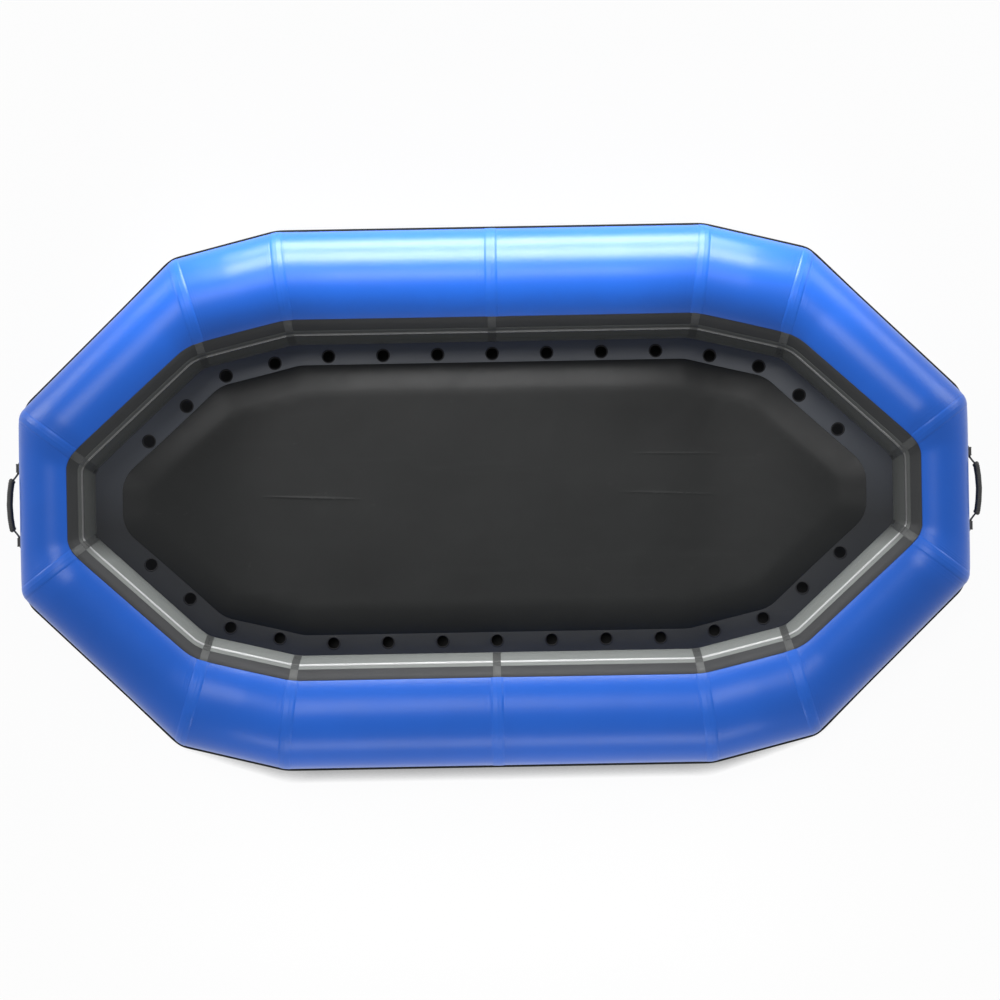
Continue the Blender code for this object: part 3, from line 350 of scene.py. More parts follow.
def mesh_piece(name, points, faces, material, body, slot, uvs=None, sharp=None):
    """Smooth piece that rides on a body, or on none. Edges sharper than a number of degrees stay
    crisp."""
    mesh = bpy.data.meshes.new(name)
    mesh.from_pydata(np.asarray(points, float).tolist(), [], [tuple(f) for f in faces])
    mesh.materials.append(material)
    if uvs is not None:
        layer = mesh.uv_layers.new(name="surface")
        loops = np.zeros(len(mesh.loops), np.int32)
        mesh.loops.foreach_get("vertex_index", loops)
        layer.data.foreach_set("uv", np.asarray(uvs, np.float32)[loops].ravel())
    mesh.polygons.foreach_set("use_smooth", [True] * len(mesh.polygons))
    mesh.update()
    piece = bpy.data.objects.new(name, mesh)
    bpy.context.scene.collection.objects.link(piece)
    if sharp:
        mesh.set_sharp_from_angle(angle=math.radians(sharp))
    if body:
        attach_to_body(piece, body)
    return piece


def add_layers(piece, layer, *materials):
    """More materials on a piece, by the number that layer has for each face."""
    for material in materials:
        piece.data.materials.append(material)
    piece.data.polygons.foreach_set("material_index", layer.astype(np.int32))


def grid_faces(rows, columns, round_row=False, round_column=False, start=0, flip=False):
    row, column = np.meshgrid(np.arange(rows if round_column else rows - 1),
                              np.arange(columns if round_row else columns - 1), indexing="ij")
    row, column = row.ravel(), column.ravel()
    after_row, after_column = (row + 1) % rows, (column + 1) % columns
    quads = np.stack([row * columns + column, row * columns + after_column,
                      after_row * columns + after_column, after_row * columns + column], 1)
    quads += start
    return (quads[:, ::-1] if flip else quads).tolist()


def bridge(near, far, closed=True, turned=False):
    """Faces between two equal rows of point numbers."""
    quads = np.stack([np.roll(near, -1), near, far, np.roll(far, -1)], 1)
    quads = quads if closed else quads[:-1]
    return (quads[:, ::-1] if turned else quads).tolist()


def double_wall(outer, inner, round_row=False, round_column=False):
    """Closed shell between two equal grids of points (rows, columns, 3)."""
    rows, columns = outer.shape[:2]
    offset = rows * columns
    points = np.concatenate([outer.reshape(-1, 3), inner.reshape(-1, 3)])
    faces = grid_faces(rows, columns, round_row, round_column)
    faces += grid_faces(rows, columns, round_row, round_column, offset, True)
    near = np.arange(offset).reshape(rows, columns)
    far = near + offset
    if not round_column:
        faces += bridge(near[0], far[0], round_row)
        faces += bridge(near[-1], far[-1], round_row, True)
    if not round_row:
        faces += bridge(near[::-1, 0], far[::-1, 0], round_column)
        faces += bridge(near[::-1, -1], far[::-1, -1], round_column, True)
    return points, faces


def capped(grid):
    """Closed body of a grid of rings (rings, points, 3)."""
    rows, columns = grid.shape[:2]
    faces = grid_faces(rows, columns, True)
    faces.append(tuple(range(columns))[::-1])
    faces.append(tuple(range((rows - 1) * columns, rows * columns)))
    return grid.reshape(-1, 3), faces


def lathe(profile, sides):
    """Closed body turned about local Z from an open profile of (radius, height) points."""
    profile = np.array(profile, float)
    angle = np.arange(sides) * 2 * math.pi / sides
    points = np.zeros((sides, len(profile), 3))
    points[..., 0] = np.cos(angle)[:, None] * profile[:, 0]
    points[..., 1] = np.sin(angle)[:, None] * profile[:, 0]
    points[..., 2] = profile[:, 1]
    return points.reshape(-1, 3), grid_faces(sides, len(profile), False, True)


def joined(*parts):
    """Several (points, faces) pairs as one."""
    points, faces, start = [], [], 0
    for part_points, part_faces in parts:
        points.append(np.asarray(part_points, float))
        faces += [tuple(index + start for index in face) for face in part_faces]
        start += len(part_points)
    return np.concatenate(points), faces


def moved(part, matrix):
    """A (points, faces) pair in another place, kept right side out if the matrix mirrors it."""
    points, faces = part
    matrix = np.array(matrix)
    if np.linalg.det(matrix[:3, :3]) < 0:
        faces = reversed_faces(faces)
    return np.asarray(points, float) @ matrix[:3, :3].T + matrix[:3, 3], faces


def reversed_faces(faces):
    return [tuple(reversed(face)) for face in faces]


def unit(vectors):
    return vectors / np.linalg.norm(vectors, axis=-1, keepdims=True)


def travel_along(line):
    """Distance travelled at each point of a line."""
    steps = np.linalg.norm(np.diff(line, axis=0), axis=1)
    return np.concatenate([[0.0], np.cumsum(steps)])


def mirrored(half):
    """A profile of (position, height) points from the first half and its middle point."""
    return list(half) + [(-position, height) for position, height in reversed(half[:-1])]


def split(profile):
    """The two columns of a profile."""
    return np.array(profile, float).T


def rounded_box(length, width, low, high, bevel, steps=3):
    """Upright block with rounded plan corners and a softened top edge."""
    corners = []
    radius = min(length, width) / 2 * 0.96
    for quarter, (x_sign, y_sign) in enumerate(((1, 1), (-1, 1), (-1, -1), (1, -1))):
        for step in range(steps * 3 + 1):
            angle = (quarter + step / (steps * 3)) * math.pi / 2
            corners.append((x_sign * (length / 2 - radius), y_sign * (width / 2 - radius),
                            math.cos(angle), math.sin(angle)))
    edge = [(bevel * (1 - math.cos(turn)), high - bevel + bevel * math.sin(turn))
            for turn in np.arange(steps + 1) / steps * math.pi / 2]
    rows = np.array([[(cx + (radius - pull) * ux, cy + (radius - pull) * uy, height)
                      for cx, cy, ux, uy in corners] for pull, height in [(0.0, low)] + edge])
    points = np.concatenate([rows.reshape(-1, 3), rows[0].mean(0)[None], rows[-1].mean(0)[None]])
    count = rows.shape[1]
    faces = grid_faces(len(rows), count, True)
    bottom, top, last = len(points) - 2, len(points) - 1, (len(rows) - 1) * count
    for column in range(count):
        after = (column + 1) % count
        faces += [(after, column, bottom), (last + column, last + after, top)]
    return points, faces


# ---- tube surface


def station_rows():
    """Centre, width vector and height vector of every station round the raft."""
    quarter = []
    for centre, angle, slope, width, height in STATIONS:
        turn, climb = math.radians(angle), math.radians(slope)
        ahead = np.array([math.cos(turn), -math.sin(turn), 0.0])
        out = np.array([math.sin(turn), math.cos(turn), 0.0])
        up = np.array([0.0, 0.0, math.cos(climb)]) - ahead * math.sin(climb)
        quarter.append(np.array([centre, out * width, up * height]))
    seams = [index in SEAM_STATIONS for index in range(len(quarter))]
    y_flip, x_flip = np.array([1.0, -1.0, 1.0]), np.array([-1.0, 1.0, 1.0])
    rows = quarter + [row * y_flip for row in reversed(quarter)]
    rows += [row * y_flip * x_flip for row in quarter[1:]]
    rows += [row * x_flip for row in reversed(quarter[1:])]
    flags = seams + seams[::-1] + seams[1:] + seams[:0:-1]
    return np.array(rows), flags


class Tube:
    """The inflated tube's outer face, by distance along its middle line and angle round it."""

    def __init__(self):
        rows, flags = station_rows()
        closed = np.concatenate([rows, rows[:1]])
        places = travel_along(closed[:, 0])
        self.length = places[-1]
        self.count = int(round(self.length / SAMPLE))
        s = np.arange(self.count) * self.length / self.count
        fine = at_places(closed.reshape(len(closed), 9), places, s)
        reach = int(BEND_SPREAD * 4 / SAMPLE)
        kernel = np.exp(-0.5 * (np.arange(-reach, reach + 1) * SAMPLE / BEND_SPREAD) ** 2)
        kernel /= kernel.sum()
        wrapped = np.concatenate([fine[-reach:], fine, fine[:reach]])
        self.fine = np.stack([np.convolve(wrapped[:, axis], kernel, "valid")
                              for axis in range(9)], 1)
        self.seams = [places[index] for index, flag in enumerate(flags) if flag]
        self.angles = np.arange(COLUMNS) * 360.0 / COLUMNS

    def at(self, s):
        """The nine smoothed numbers at distances s, wrapping round the raft."""
        s = np.asarray(s, float) % self.length
        step = self.length / self.count
        low = np.floor(s / step).astype(int) % self.count
        share = (s / step - np.floor(s / step))[..., None]
        return self.fine[low] * (1 - share) + self.fine[(low + 1) % self.count] * share

    def points(self, s, angles, lift=0.0):
        """Points for arrays of distance and angle, lifted off the surface."""
        s, angles = np.broadcast_arrays(np.asarray(s, float), np.asarray(angles, float))
        turn = np.radians(angles)[..., None]
        cosine, sine = np.cos(turn), np.sin(turn)

        def on_ring(nine):
            return nine[..., :3] + nine[..., 3:6] * cosine + nine[..., 6:] * sine

        nine = self.at(s)
        place = on_ring(nine)
        lift = np.asarray(lift, float)
        if not np.any(lift):
            return place
        around = nine[..., 6:] * cosine - nine[..., 3:6] * sine
        normal = unit(np.cross(around, on_ring(self.at(s + 0.003) - self.at(s - 0.003))))
        normal *= np.sign((normal * (place - nine[..., :3])).sum(-1, keepdims=True))
        return place + normal * np.broadcast_to(lift, s.shape)[..., None]

    def run(self, seam, angles, distances):
        """Distance along the middle line for true distances on the surface from a seam."""
        reach = np.arange(-0.55, 0.5501, SAMPLE)
        found = np.zeros((len(distances), len(angles)))
        for column, angle in enumerate(angles):
            travel = travel_along(self.points(seam + reach, angle))
            travel -= travel[len(reach) // 2]
            found[:, column] = seam + np.interp(distances, travel, reach)
        return found

    def span(self, first, last, angles):
        """True length between two seams at each angle."""
        lengths = []
        for angle in angles:
            line = self.points(np.linspace(first, last, 240), angle)
            lengths.append(np.linalg.norm(np.diff(line, axis=0), axis=1).sum())
        return np.array(lengths)


def ripple(distance, phases):
    """Small folds in the fabric beside a seam, fading away from it."""
    height = np.zeros_like(distance)
    for (place, width, size), phase in zip(FOLDS, phases):
        height += size * phase * np.exp(-((distance - place) / width) ** 2)
    return height


def fold_phases(angles):
    """How strong each fold beside a seam is, round the tube."""
    phases = []
    turn = np.radians(angles)
    for _ in FOLDS:
        total = np.full(len(angles), 0.45)
        for order in (1, 2, 3, 5, 8):
            total += 0.22 * math.sqrt(1 / order) * np.cos(order * turn + random.uniform(0, 6.28))
        phases.append(np.clip(total, 0.0, 1.2))
    return phases


def build_tubes(tube, fabric, covered_fabric):
    """The fourteen fabric panels, each a thin closed wall between two seams."""
    near = np.concatenate([[0.0002, 0.006, 0.012, 0.018, 0.024],
                           np.arange(0.0265, PUCKER_REACH, 0.0022)])
    ease = ((np.arange(1, INNER_ROWS + 1) / INNER_ROWS) ** 1.5)[:, None]
    angles = tube.angles
    columns = len(angles)
    ring = np.arange(columns)
    ends = tube.seams + [tube.length]
    for name, first, last in zip(PANEL_NAMES, ends, ends[1:]):
        half = tube.span(first, last, angles) / 2 - near[-1]
        rows_s, rows_d = [], []
        for seam, way in ((first, 1.0), (last, -1.0)):
            close = tube.run(seam, angles, near * way)
            rows_s.append(np.concatenate(
                [close, close[-1] + ((first + last) / 2 - close[-1]) * ease]))
            rows_d.append(np.concatenate(
                [np.repeat(near[:, None], columns, 1), near[-1] + half * ease]))
        s = np.concatenate([rows_s[0], rows_s[1][::-1][1:]])
        folds = [ripple(distance, fold_phases(angles)) for distance in rows_d]
        lift = np.concatenate([folds[0], folds[1][::-1][1:]])
        grid = np.broadcast_to(angles[None], s.shape)
        outer = tube.points(s, grid, lift + 1e-9)
        keep = np.unique(np.concatenate([np.arange(0, len(s), INNER_STEP), [len(s) - 1]]))
        inner = tube.points(s[keep], grid[keep], -FABRIC)
        points = np.concatenate([outer.reshape(-1, 3), inner.reshape(-1, 3)])
        offset = len(s) * columns
        faces = grid_faces(len(s), columns, True)
        faces += grid_faces(len(keep), columns, True, False, offset, True)
        faces += bridge(ring, ring + offset)
        faces += bridge(ring + offset - columns, ring + len(points) - columns, turned=True)
        flat = np.stack([s, grid / 360 * GIRTH], -1)
        uvs = np.concatenate([flat.reshape(-1, 2), flat[keep].reshape(-1, 2)])
        piece = mesh_piece(name + "_skin", points, faces, fabric, "raft", "blue_tube_fabric", uvs)
        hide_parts(name)
        foot = np.where(from_corner(tube, s) < CORNER_COVER, COVERED_AT_CORNER, COVERED_FOOT)
        covered = (grid > band_angles(tube, s, BAND_TOP) + 3.0) & (grid < foot)
        layer = np.zeros(len(faces), np.int32)
        layer[:covered[:-1].size] = covered[:-1].ravel()
        add_layers(piece, layer, covered_fabric)


def build_tapes(tube, material, covered_fabric):
    """A stepped tape of two layers over every seam, sunk where the band covers it."""
    half = TAPE_HALF
    inner = half - 0.0052
    profile = mirrored((
        (-half, -0.0006), (-half, 0.00030), (-half + 0.0008, 0.00062),
        (-inner - 0.0004, 0.00066), (-inner, 0.00100), (-inner + 0.0010, 0.00130),
        (-0.0100, 0.00140), (-0.0012, 0.00165), (0.0, 0.00185)))
    distances, lifts = split(profile)
    angles = tube.angles
    faces = grid_faces(len(profile), len(angles), True, True)
    for number, seam in enumerate(tube.seams):
        s = tube.run(seam, angles, distances)
        grid = np.broadcast_to(angles[None], s.shape)
        foot = TAPE_RETURN if number in SHARP_SEAMS else COVERED_FOOT
        covered = (angles > band_angles(tube, seam, BAND_TOP) + 2.0) & (angles < foot)
        outer = tube.points(s, grid, np.where(covered, TAPE_SUNK, lifts[:, None]))
        flat = np.stack([np.repeat(distances[:, None], len(angles), 1), grid / 360 * GIRTH], -1)
        piece = mesh_piece(f"seam_tape_{number + 1:02d}", outer.reshape(-1, 3), faces, material,
                           "raft", "blue_tube_fabric", flat.reshape(-1, 2), 50)
        add_layers(piece, np.tile(covered, len(profile)), covered_fabric)


def band_angles(tube, s, angles):
    """The band's edge lies higher on the slimmer end tubes, and its layers move with it."""
    radius = np.linalg.norm(tube.at(s)[..., 3:6], axis=-1)
    top = np.interp(radius, *split(BAND_TOP_BY_RADIUS))
    return BAND_FOOT - (BAND_FOOT - angles) * (BAND_FOOT - top) / (BAND_FOOT - BAND_TOP)


def from_corner(tube, s):
    """Distance to the nearest of the tight corners at both ends."""
    ends = np.array([tube.seams[index] for index in SHARP_SEAMS])
    away = np.abs(np.asarray(s)[..., None] - ends)
    return np.minimum(away, tube.length - away).min(-1)


def corner_lift(tube, s):
    """Slack of the band over the tight corners."""
    return CORNER_LIFT * np.exp(-(from_corner(tube, s) / CORNER_REACH) ** 2)


def strip_round(tube, s, profile):
    """Grid of points for the band: rows along the tube, columns over its (angle, lift) profile."""
    angles, lifts = split(profile)
    s_grid, angle_grid = np.meshgrid(s, angles, indexing="ij")
    lift_grid = np.broadcast_to(lifts[None], s_grid.shape)
    lift_grid = np.where(lift_grid > 0, lift_grid + corner_lift(tube, s_grid), lift_grid)
    points = tube.points(s_grid, band_angles(tube, s_grid, angle_grid), lift_grid)
    steps = np.linalg.norm(np.diff(points, axis=1), axis=2).mean(0)
    across = np.concatenate([[0.0], np.cumsum(steps)])
    uvs = np.stack([s_grid, np.broadcast_to(across[None], s_grid.shape)], -1)
    return points, uvs.reshape(-1, 2)


def loop_places(tube):
    """Distances round the raft, close together where the tube bends."""
    places = []
    ends = tube.seams + [tube.length]
    for first, last in zip(ends, ends[1:]):
        half = (last - first) / 2
        near = np.minimum(np.arange(0.0, 0.0801, 0.004), half * 0.98)
        steps = max(2, int((half - near[-1]) / 0.022))
        rest = near[-1] + (half - near[-1]) * np.arange(1, steps + 1) / steps
        one = np.concatenate([near, rest])
        places.append(first + one)
        places.append((last - one)[::-1][1:-1])
    return np.unique(np.round(np.concatenate(places), 6))


# Angle and lift round the band's section, from its top edge over groove and rib to its foot.
BAND_PROFILE = (
    (130.5, -0.0006), (130.5, 0.0016), (130.9, 0.0025), (137.0, 0.0028), (144.1, 0.0029),
    (144.4, 0.0016), (145.1, 0.0016), (145.4, 0.0028), (147.0, 0.0030), (149.7, 0.0030),
    (149.9, 0.0042), (150.3, 0.0058), (150.8, 0.0070), (151.3, 0.0076), (151.7, 0.0078),
    (152.1, 0.0076), (152.6, 0.0070), (153.1, 0.0058), (153.5, 0.0042), (153.7, 0.0030),
    (160.0, 0.0029), (166.5, 0.0029), (173.0, 0.0029),
    (180.0, 0.0029), (186.9, 0.0028), (187.4, 0.0022), (187.5, 0.0010), (187.5, -0.0006),
)
BAND_FOLD = 145.2
PIPING = (149.8, 153.6)

# What the tape of a tight corner adds below the band's foot.
CORNER_TAPE_FOOT = ((193.0, 0.0026), (199.0, 0.0024), (204.5, 0.0020))


def build_band(tube, material, inner_material, piping_material, tape_material):
    """Chafe band all round the tube's inner side, with a raised rib and taped corners."""
    grid, uvs = strip_round(tube, loop_places(tube), BAND_PROFILE)
    rows, columns = grid.shape[:2]
    piece = mesh_piece("chafe_band_layers", grid.reshape(-1, 3),
                       grid_faces(rows, columns, True, True), material, "raft",
                       "grey_band_fabric", uvs, 40)
    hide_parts("chafe_band")
    angles = split(BAND_PROFILE)[0]
    column = np.arange(columns)
    fold = np.sum(angles < BAND_FOLD) - 1
    layer = ((column >= fold) & (column < columns - 1)).astype(int)
    layer[(angles > PIPING[0]) & (angles < PIPING[1])] = 2
    add_layers(piece, np.tile(layer, rows), inner_material, piping_material)

    half = CORNER_TAPE_HALF
    distances, rises = split(mirrored((
        (-half, -0.0015), (-half, 0.0004), (-half + 0.0012, 0.0008), (0.0, 0.0011))))
    shape = [(130.55, 0.0015)] + [row for row in BAND_PROFILE if 130.8 < row[0] < 187.2]
    for number, seam in enumerate(tube.seams):
        foot = CORNER_TAPE_FOOT if number in SHARP_SEAMS else ((187.45, 0.0020),)
        angles, lifts = split(shape + list(foot))
        places = tube.run(seam, angles, distances)
        angle_grid = band_angles(tube, places, np.broadcast_to(angles[None], places.shape))
        slack = corner_lift(tube, places)
        front = tube.points(places, angle_grid, lifts[None] + rises[:, None] + slack)
        back = tube.points(places, angle_grid, lifts[None] - 0.0022 + slack)
        uvs = np.stack([places, angle_grid / 250], -1).reshape(-1, 2)
        mesh_piece(f"band_corner_tape_{number + 1:02d}", *double_wall(front, back),
                   tape_material, "raft", "grey_band_fabric", np.tile(uvs, (2, 1)), 40)


def build_strakes(tube, material):
    """Grooved rubber strip along each side, tapering off at the end seams."""
    half = math.degrees(STRAKE_HALF / SIDE_RADIUS)
    shares, lifts = split(mirrored((
        (-1.0, -0.0006), (-1.0, 0.0016), (-0.92, 0.0024), (-0.70, 0.0030), (-0.56, 0.0046),
        (-0.46, 0.0080), (-0.36, 0.0097), (-0.20, 0.0099), (-0.14, 0.0083), (-0.05, 0.0083),
        (0.0, 0.0099))))
    every = loop_places(tube)
    every = np.concatenate([every, every + tube.length])
    for side, first, last in (("port", tube.seams[11], tube.seams[3] + tube.length),
                              ("starboard", tube.seams[4], tube.seams[10])):
        first, last = first + STRAKE_END, last - STRAKE_END
        s = every[(every > first + 0.0005) & (every < last - 0.0005)]
        s = np.concatenate([[first], s, [last]])
        s_grid, share = np.meshgrid(s, shares, indexing="ij")
        taper = np.clip(np.minimum(s - s[0], s[-1] - s) / 0.030, 0.0, 1.0)
        taper = 0.25 + 0.75 * np.sin(taper * math.pi / 2)
        lift = np.where(lifts > 0, lifts * taper[:, None], lifts)
        uvs = np.stack([s_grid, share * STRAKE_HALF], -1).reshape(-1, 2)
        piece = mesh_piece("rub_strake_strip_" + side,
                           *capped(tube.points(s_grid, share * half, lift)), material, "raft",
                           "black_rubber", uvs, 45)
        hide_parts("rub_strake_" + side)


# ---- floor


def kick(x):
    return KICK_RISE * (np.maximum(0.0, np.abs(x) - KICK_START) / KICK_RUN) ** 2


def inset(outline, distance):
    """Move each edge of an anticlockwise outline inwards."""
    outline = np.asarray(outline, float)
    before = unit(outline - np.roll(outline, 1, 0))
    after = unit(np.roll(outline, -1, 0) - outline)
    inward = unit(np.stack([-before[:, 1] - after[:, 1], before[:, 0] + after[:, 0]], 1))
    lean = inward[:, 0] * -before[:, 1] + inward[:, 1] * before[:, 0]
    return outline + inward * (distance / lean)[:, None]


def whole_outline(quarter):
    quarter = np.asarray(quarter, float)
    fore = quarter[::-1]
    return np.concatenate([fore, quarter * [-1, 1], fore * [-1, -1], quarter * [1, -1]])


def rounded(outline, radius, steps):
    """An outline with an arc of the given radius at each corner."""
    points = []
    for index, corner in enumerate(outline):
        before = unit(corner - outline[index - 1])
        after = unit(outline[(index + 1) % len(outline)] - corner)
        bend = math.acos(max(-1.0, min(1.0, float(before @ after))))
        arm = np.array([before[1], -before[0]]) * radius
        centre = corner - before * radius * math.tan(bend / 2) - arm
        for turn in bend * np.arange(steps + 1) / steps:
            points.append(centre + [arm[0] * math.cos(turn) - arm[1] * math.sin(turn),
                                    arm[0] * math.sin(turn) + arm[1] * math.cos(turn)])
    return np.array(points)


def at_places(line, travel, places):
    """Points of a line at some distances along it."""
    return np.stack([np.interp(places, travel, column) for column in line.T], 1)


def resample(outline, spacing):
    """Even points round a closed outline."""
    closed = np.concatenate([outline, outline[:1]])
    travel = travel_along(closed)
    count = int(travel[-1] / spacing)
    return at_places(closed, travel, np.arange(count) * travel[-1] / count)


def plan_grid(panel, spacing, margin):
    """Even points over the middle of the floor."""
    x, y = np.meshgrid(np.arange(-1.5, 1.501, spacing), np.arange(-0.6, 0.601, spacing))
    grid = np.stack([x.ravel(), y.ravel()], 1)
    return grid[depth_in(panel, grid) > margin]



def depth_in(outline, places):
    """Distance inside a convex outline."""
    edge = outline - np.roll(outline, 1, 0)
    length = np.linalg.norm(edge, axis=1)
    away = places[:, None, :] - outline[None]
    cross = edge[None, :, 0] * away[..., 1] - edge[None, :, 1] * away[..., 0]
    return (cross / length[None]).min(1)


def plan_mesh(lines, loose, keep):
    """Triangles over a plan, with lines kept as edges. Gives points and faces."""
    plan, edges = [], []
    for line in lines:
        start = len(plan)
        plan += [Vector(point) for point in line]
        edges += [(start + index, start + (index + 1) % len(line)) for index in range(len(line))]
    plan += [Vector(point) for point in loose]
    result = delaunay_2d_cdt(plan, edges, [], 1, 1e-6)
    points = np.array([tuple(point) for point in result[0]])
    faces = np.array([face for face in result[2] if len(face) == 3])
    middle = points[faces].mean(1)
    faces = faces[keep(middle)]
    used = np.unique(faces)
    order = np.zeros(len(points), int)
    order[used] = np.arange(len(used))
    return points[used], order[faces]


def inside(outline, places):
    x, y = places[:, 0][:, None], places[:, 1][:, None]
    here, before = outline[None], np.roll(outline, 1, 0)[None]
    straddle = (here[..., 1] > y) != (before[..., 1] > y)
    rise = before[..., 1] - here[..., 1]
    rise = np.where(np.abs(rise) < 1e-12, 1e-12, rise)
    crossing = here[..., 0] + (y - here[..., 1]) * (before[..., 0] - here[..., 0]) / rise
    return (straddle & (x < crossing)).sum(1) % 2 == 1


def solid_plate(points, faces, top, thickness):
    """Closed plate under a height for each plan point."""
    count = len(points)
    upper = np.column_stack([points, top])
    lower = np.column_stack([points, top - thickness])
    sides = {}
    for face in faces:
        for first, last in zip(face, np.roll(face, -1)):
            sides[(first, last)] = True
    border = [(first, last) for first, last in sides if (last, first) not in sides]
    every = [tuple(face) for face in faces] + [tuple(face[::-1] + count) for face in faces]
    every += [(last, first, first + count, last + count) for first, last in border]
    return np.concatenate([upper, lower]), every


def plate_piece(name, node, plan, top, thickness, material, slot, sharp):
    piece = mesh_piece(name, *solid_plate(*plan, top, thickness), material, "raft", slot,
                       sharp=sharp)
    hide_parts(node)


def panel_outline():
    return rounded(inset(whole_outline(SILHOUETTE), FLANGE_WIDTH), PANEL_RADIUS, 14)


def drain_places():
    """Centres of the thirty drain holes, along the middle of the flange."""
    line = inset(whole_outline(SILHOUETTE), DRAIN_INSET)
    quarter = line[(line[:, 0] > 0) & (line[:, 1] > 0)][::-1]
    run = np.concatenate([[[0.0, quarter[0, 1]]], quarter])
    places = [DRAIN_PITCH * index for index in range(5)]
    places += [places[-1] + DRAIN_END_PITCH * index for index in (1, 2, 3)]
    centres = []
    for x, y in at_places(run, travel_along(run), places):
        for x_sign in ((1, -1) if x > 1e-4 else (1,)):
            centres += [(x * x_sign, y), (x * x_sign, -y)]
    return np.array(centres)


def attach_line(tube):
    """Plan line where the flange meets the tube's inner face, under its silhouette."""
    s = loop_places(tube)
    low, high = np.full(len(s), 255.0), np.full(len(s), 181.0)
    for _ in range(40):
        middle = (low + high) / 2
        place = tube.points(s, middle)
        above = place[:, 2] > FLANGE_HEIGHT - FLANGE_FALL + kick(place[:, 0])
        high = np.where(above, middle, high)
        low = np.where(above, low, middle)
    place = tube.points(s, low, -0.002)
    outline = place[::-1, :2]
    steps = np.linalg.norm(outline - np.roll(outline, 1, 0), axis=1)
    return outline[steps > 0.002]


def flange_height(panel, places):
    away = np.clip(-depth_in(panel, places), 0.0, FLANGE_WIDTH)
    share = away / FLANGE_WIDTH
    return FLANGE_HEIGHT + kick(places[:, 0]) - FLANGE_FALL * share * share * (3 - 2 * share)


def axes_matrix(x_axis, y_axis, z_axis, place):
    matrix = Matrix((x_axis, y_axis, z_axis)).transposed().to_4x4()
    matrix.translation = Vector(place)
    return matrix


def build_flange(tube, panel, material, rim_material):
    """The strip between tubes and floor, and a raised rim round each of its holes."""
    attach = attach_line(tube)
    edge = resample(inset(panel, -0.0004), 0.02)
    centres = drain_places()
    turn = np.arange(HOLE_SIDES) * 2 * math.pi / HOLE_SIDES
    circle = np.stack([np.cos(turn), np.sin(turn)], 1)
    holes = [centre + circle * DRAIN_RADIUS for centre in centres]
    rings = [centre + circle * (DRAIN_RADIUS + 0.010) for centre in centres]
    rows = [resample(inset(panel, -distance), 0.025) for distance in (0.018, 0.060, 0.085)]

    def from_hole(places):
        return np.linalg.norm(places[:, None] - centres[None], axis=2).min(1)

    def keep(places):
        good = inside(attach, places) & ~inside(edge, places)
        return good & (from_hole(places) > DRAIN_RADIUS * 0.99)

    loose = np.concatenate(rings + rows)
    loose = loose[(from_hole(loose) > DRAIN_RADIUS + 0.008)
                  & inside(inset(attach, 0.004), loose)]
    plan = plan_mesh([attach, edge] + holes, loose, keep)
    plate_piece("drain_flange_sheet", "drain_flange", plan, flange_height(panel, plan[0]),
                FLANGE_THICKNESS, material, "grey_floor_fabric", 40)

    ring = lathe([(DRAIN_RADIUS + out, height) for out, height in (
        (-0.0004, -0.0026), (-0.0008, 0.0006), (0.0004, 0.0013), (0.0040, 0.0013),
        (0.0048, 0.0006), (0.0050, -0.0010), (0.0050, -0.0026), (-0.0004, -0.0026))], HOLE_SIDES)
    parts = []
    step = 0.004
    for centre in centres:
        height = flange_height(panel, np.array([centre, centre + [step, 0], centre + [0, step]]))
        x_axis = Vector((step, 0, height[1] - height[0])).normalized()
        y_axis = Vector((0, step, height[2] - height[0])).normalized()
        z_axis = x_axis.cross(y_axis).normalized()
        parts.append(moved(ring, axes_matrix(x_axis, z_axis.cross(x_axis), z_axis,
                                             (*centre, height[0]))))
    mesh_piece("drain_hole_rims", *joined(*parts), rim_material, "raft", "grey_floor_fabric",
               sharp=50)


def crown_height(panel, points):
    """Top of the floor: a soft rise from its edge to the flat middle."""
    share = np.clip(depth_in(panel, points) / CROWN_WIDTH, 0.0, 1.0)
    rise = PANEL_CROWN * (1 - (1 - share) ** CROWN_POWER)
    return FLANGE_HEIGHT + kick(points[:, 0]) + rise


def build_core(panel, material):
    """The threads and air between the floor's two skins."""
    edge = resample(inset(panel, PANEL_SKIN + FIT), 0.03)
    rings = [resample(inset(panel, distance), 0.03) for distance in (0.012, 0.03, 0.055, 0.09)]
    plan = plan_mesh([edge], np.concatenate(rings + [plan_grid(panel, 0.05, 0.12)]),
                     lambda places: inside(edge, places))
    top = crown_height(panel, plan[0]) - PANEL_SKIN - CORE_FIT
    foot = FLANGE_HEIGHT + kick(plan[0][:, 0]) - PANEL_DEPTH + PANEL_SKIN + CORE_FIT
    plate_piece("floor_core_threads", "floor_core", plan, top, top - foot, material,
                "stitch_threads", 50)


# Rows of points over the floor's crown, by distance from its edge.
FLOOR_ROWS = (0.0, 0.0008, 0.002, 0.004, 0.007, 0.011, 0.016, 0.022, 0.029, 0.037, 0.046,
              0.056, 0.068, 0.080, 0.097, 0.115)
# How close the waves are along and across, their height and phase.
SWELLS = ((2.1, 1.3, 0.0008, 0.4), (3.7, 2.9, 0.0005, 1.7), (1.1, 4.3, 0.0006, 2.9))
# Middle, turn in degrees, length, width and height of each soft ridge.
RIDGES = (
    (0.66, -0.20, 35, 0.14, 0.012, 0.0016), (0.75, -0.23, 55, 0.10, 0.010, 0.0012),
    (0.84, -0.16, 20, 0.12, 0.012, 0.0012), (0.60, -0.28, 70, 0.09, 0.010, 0.0012),
)


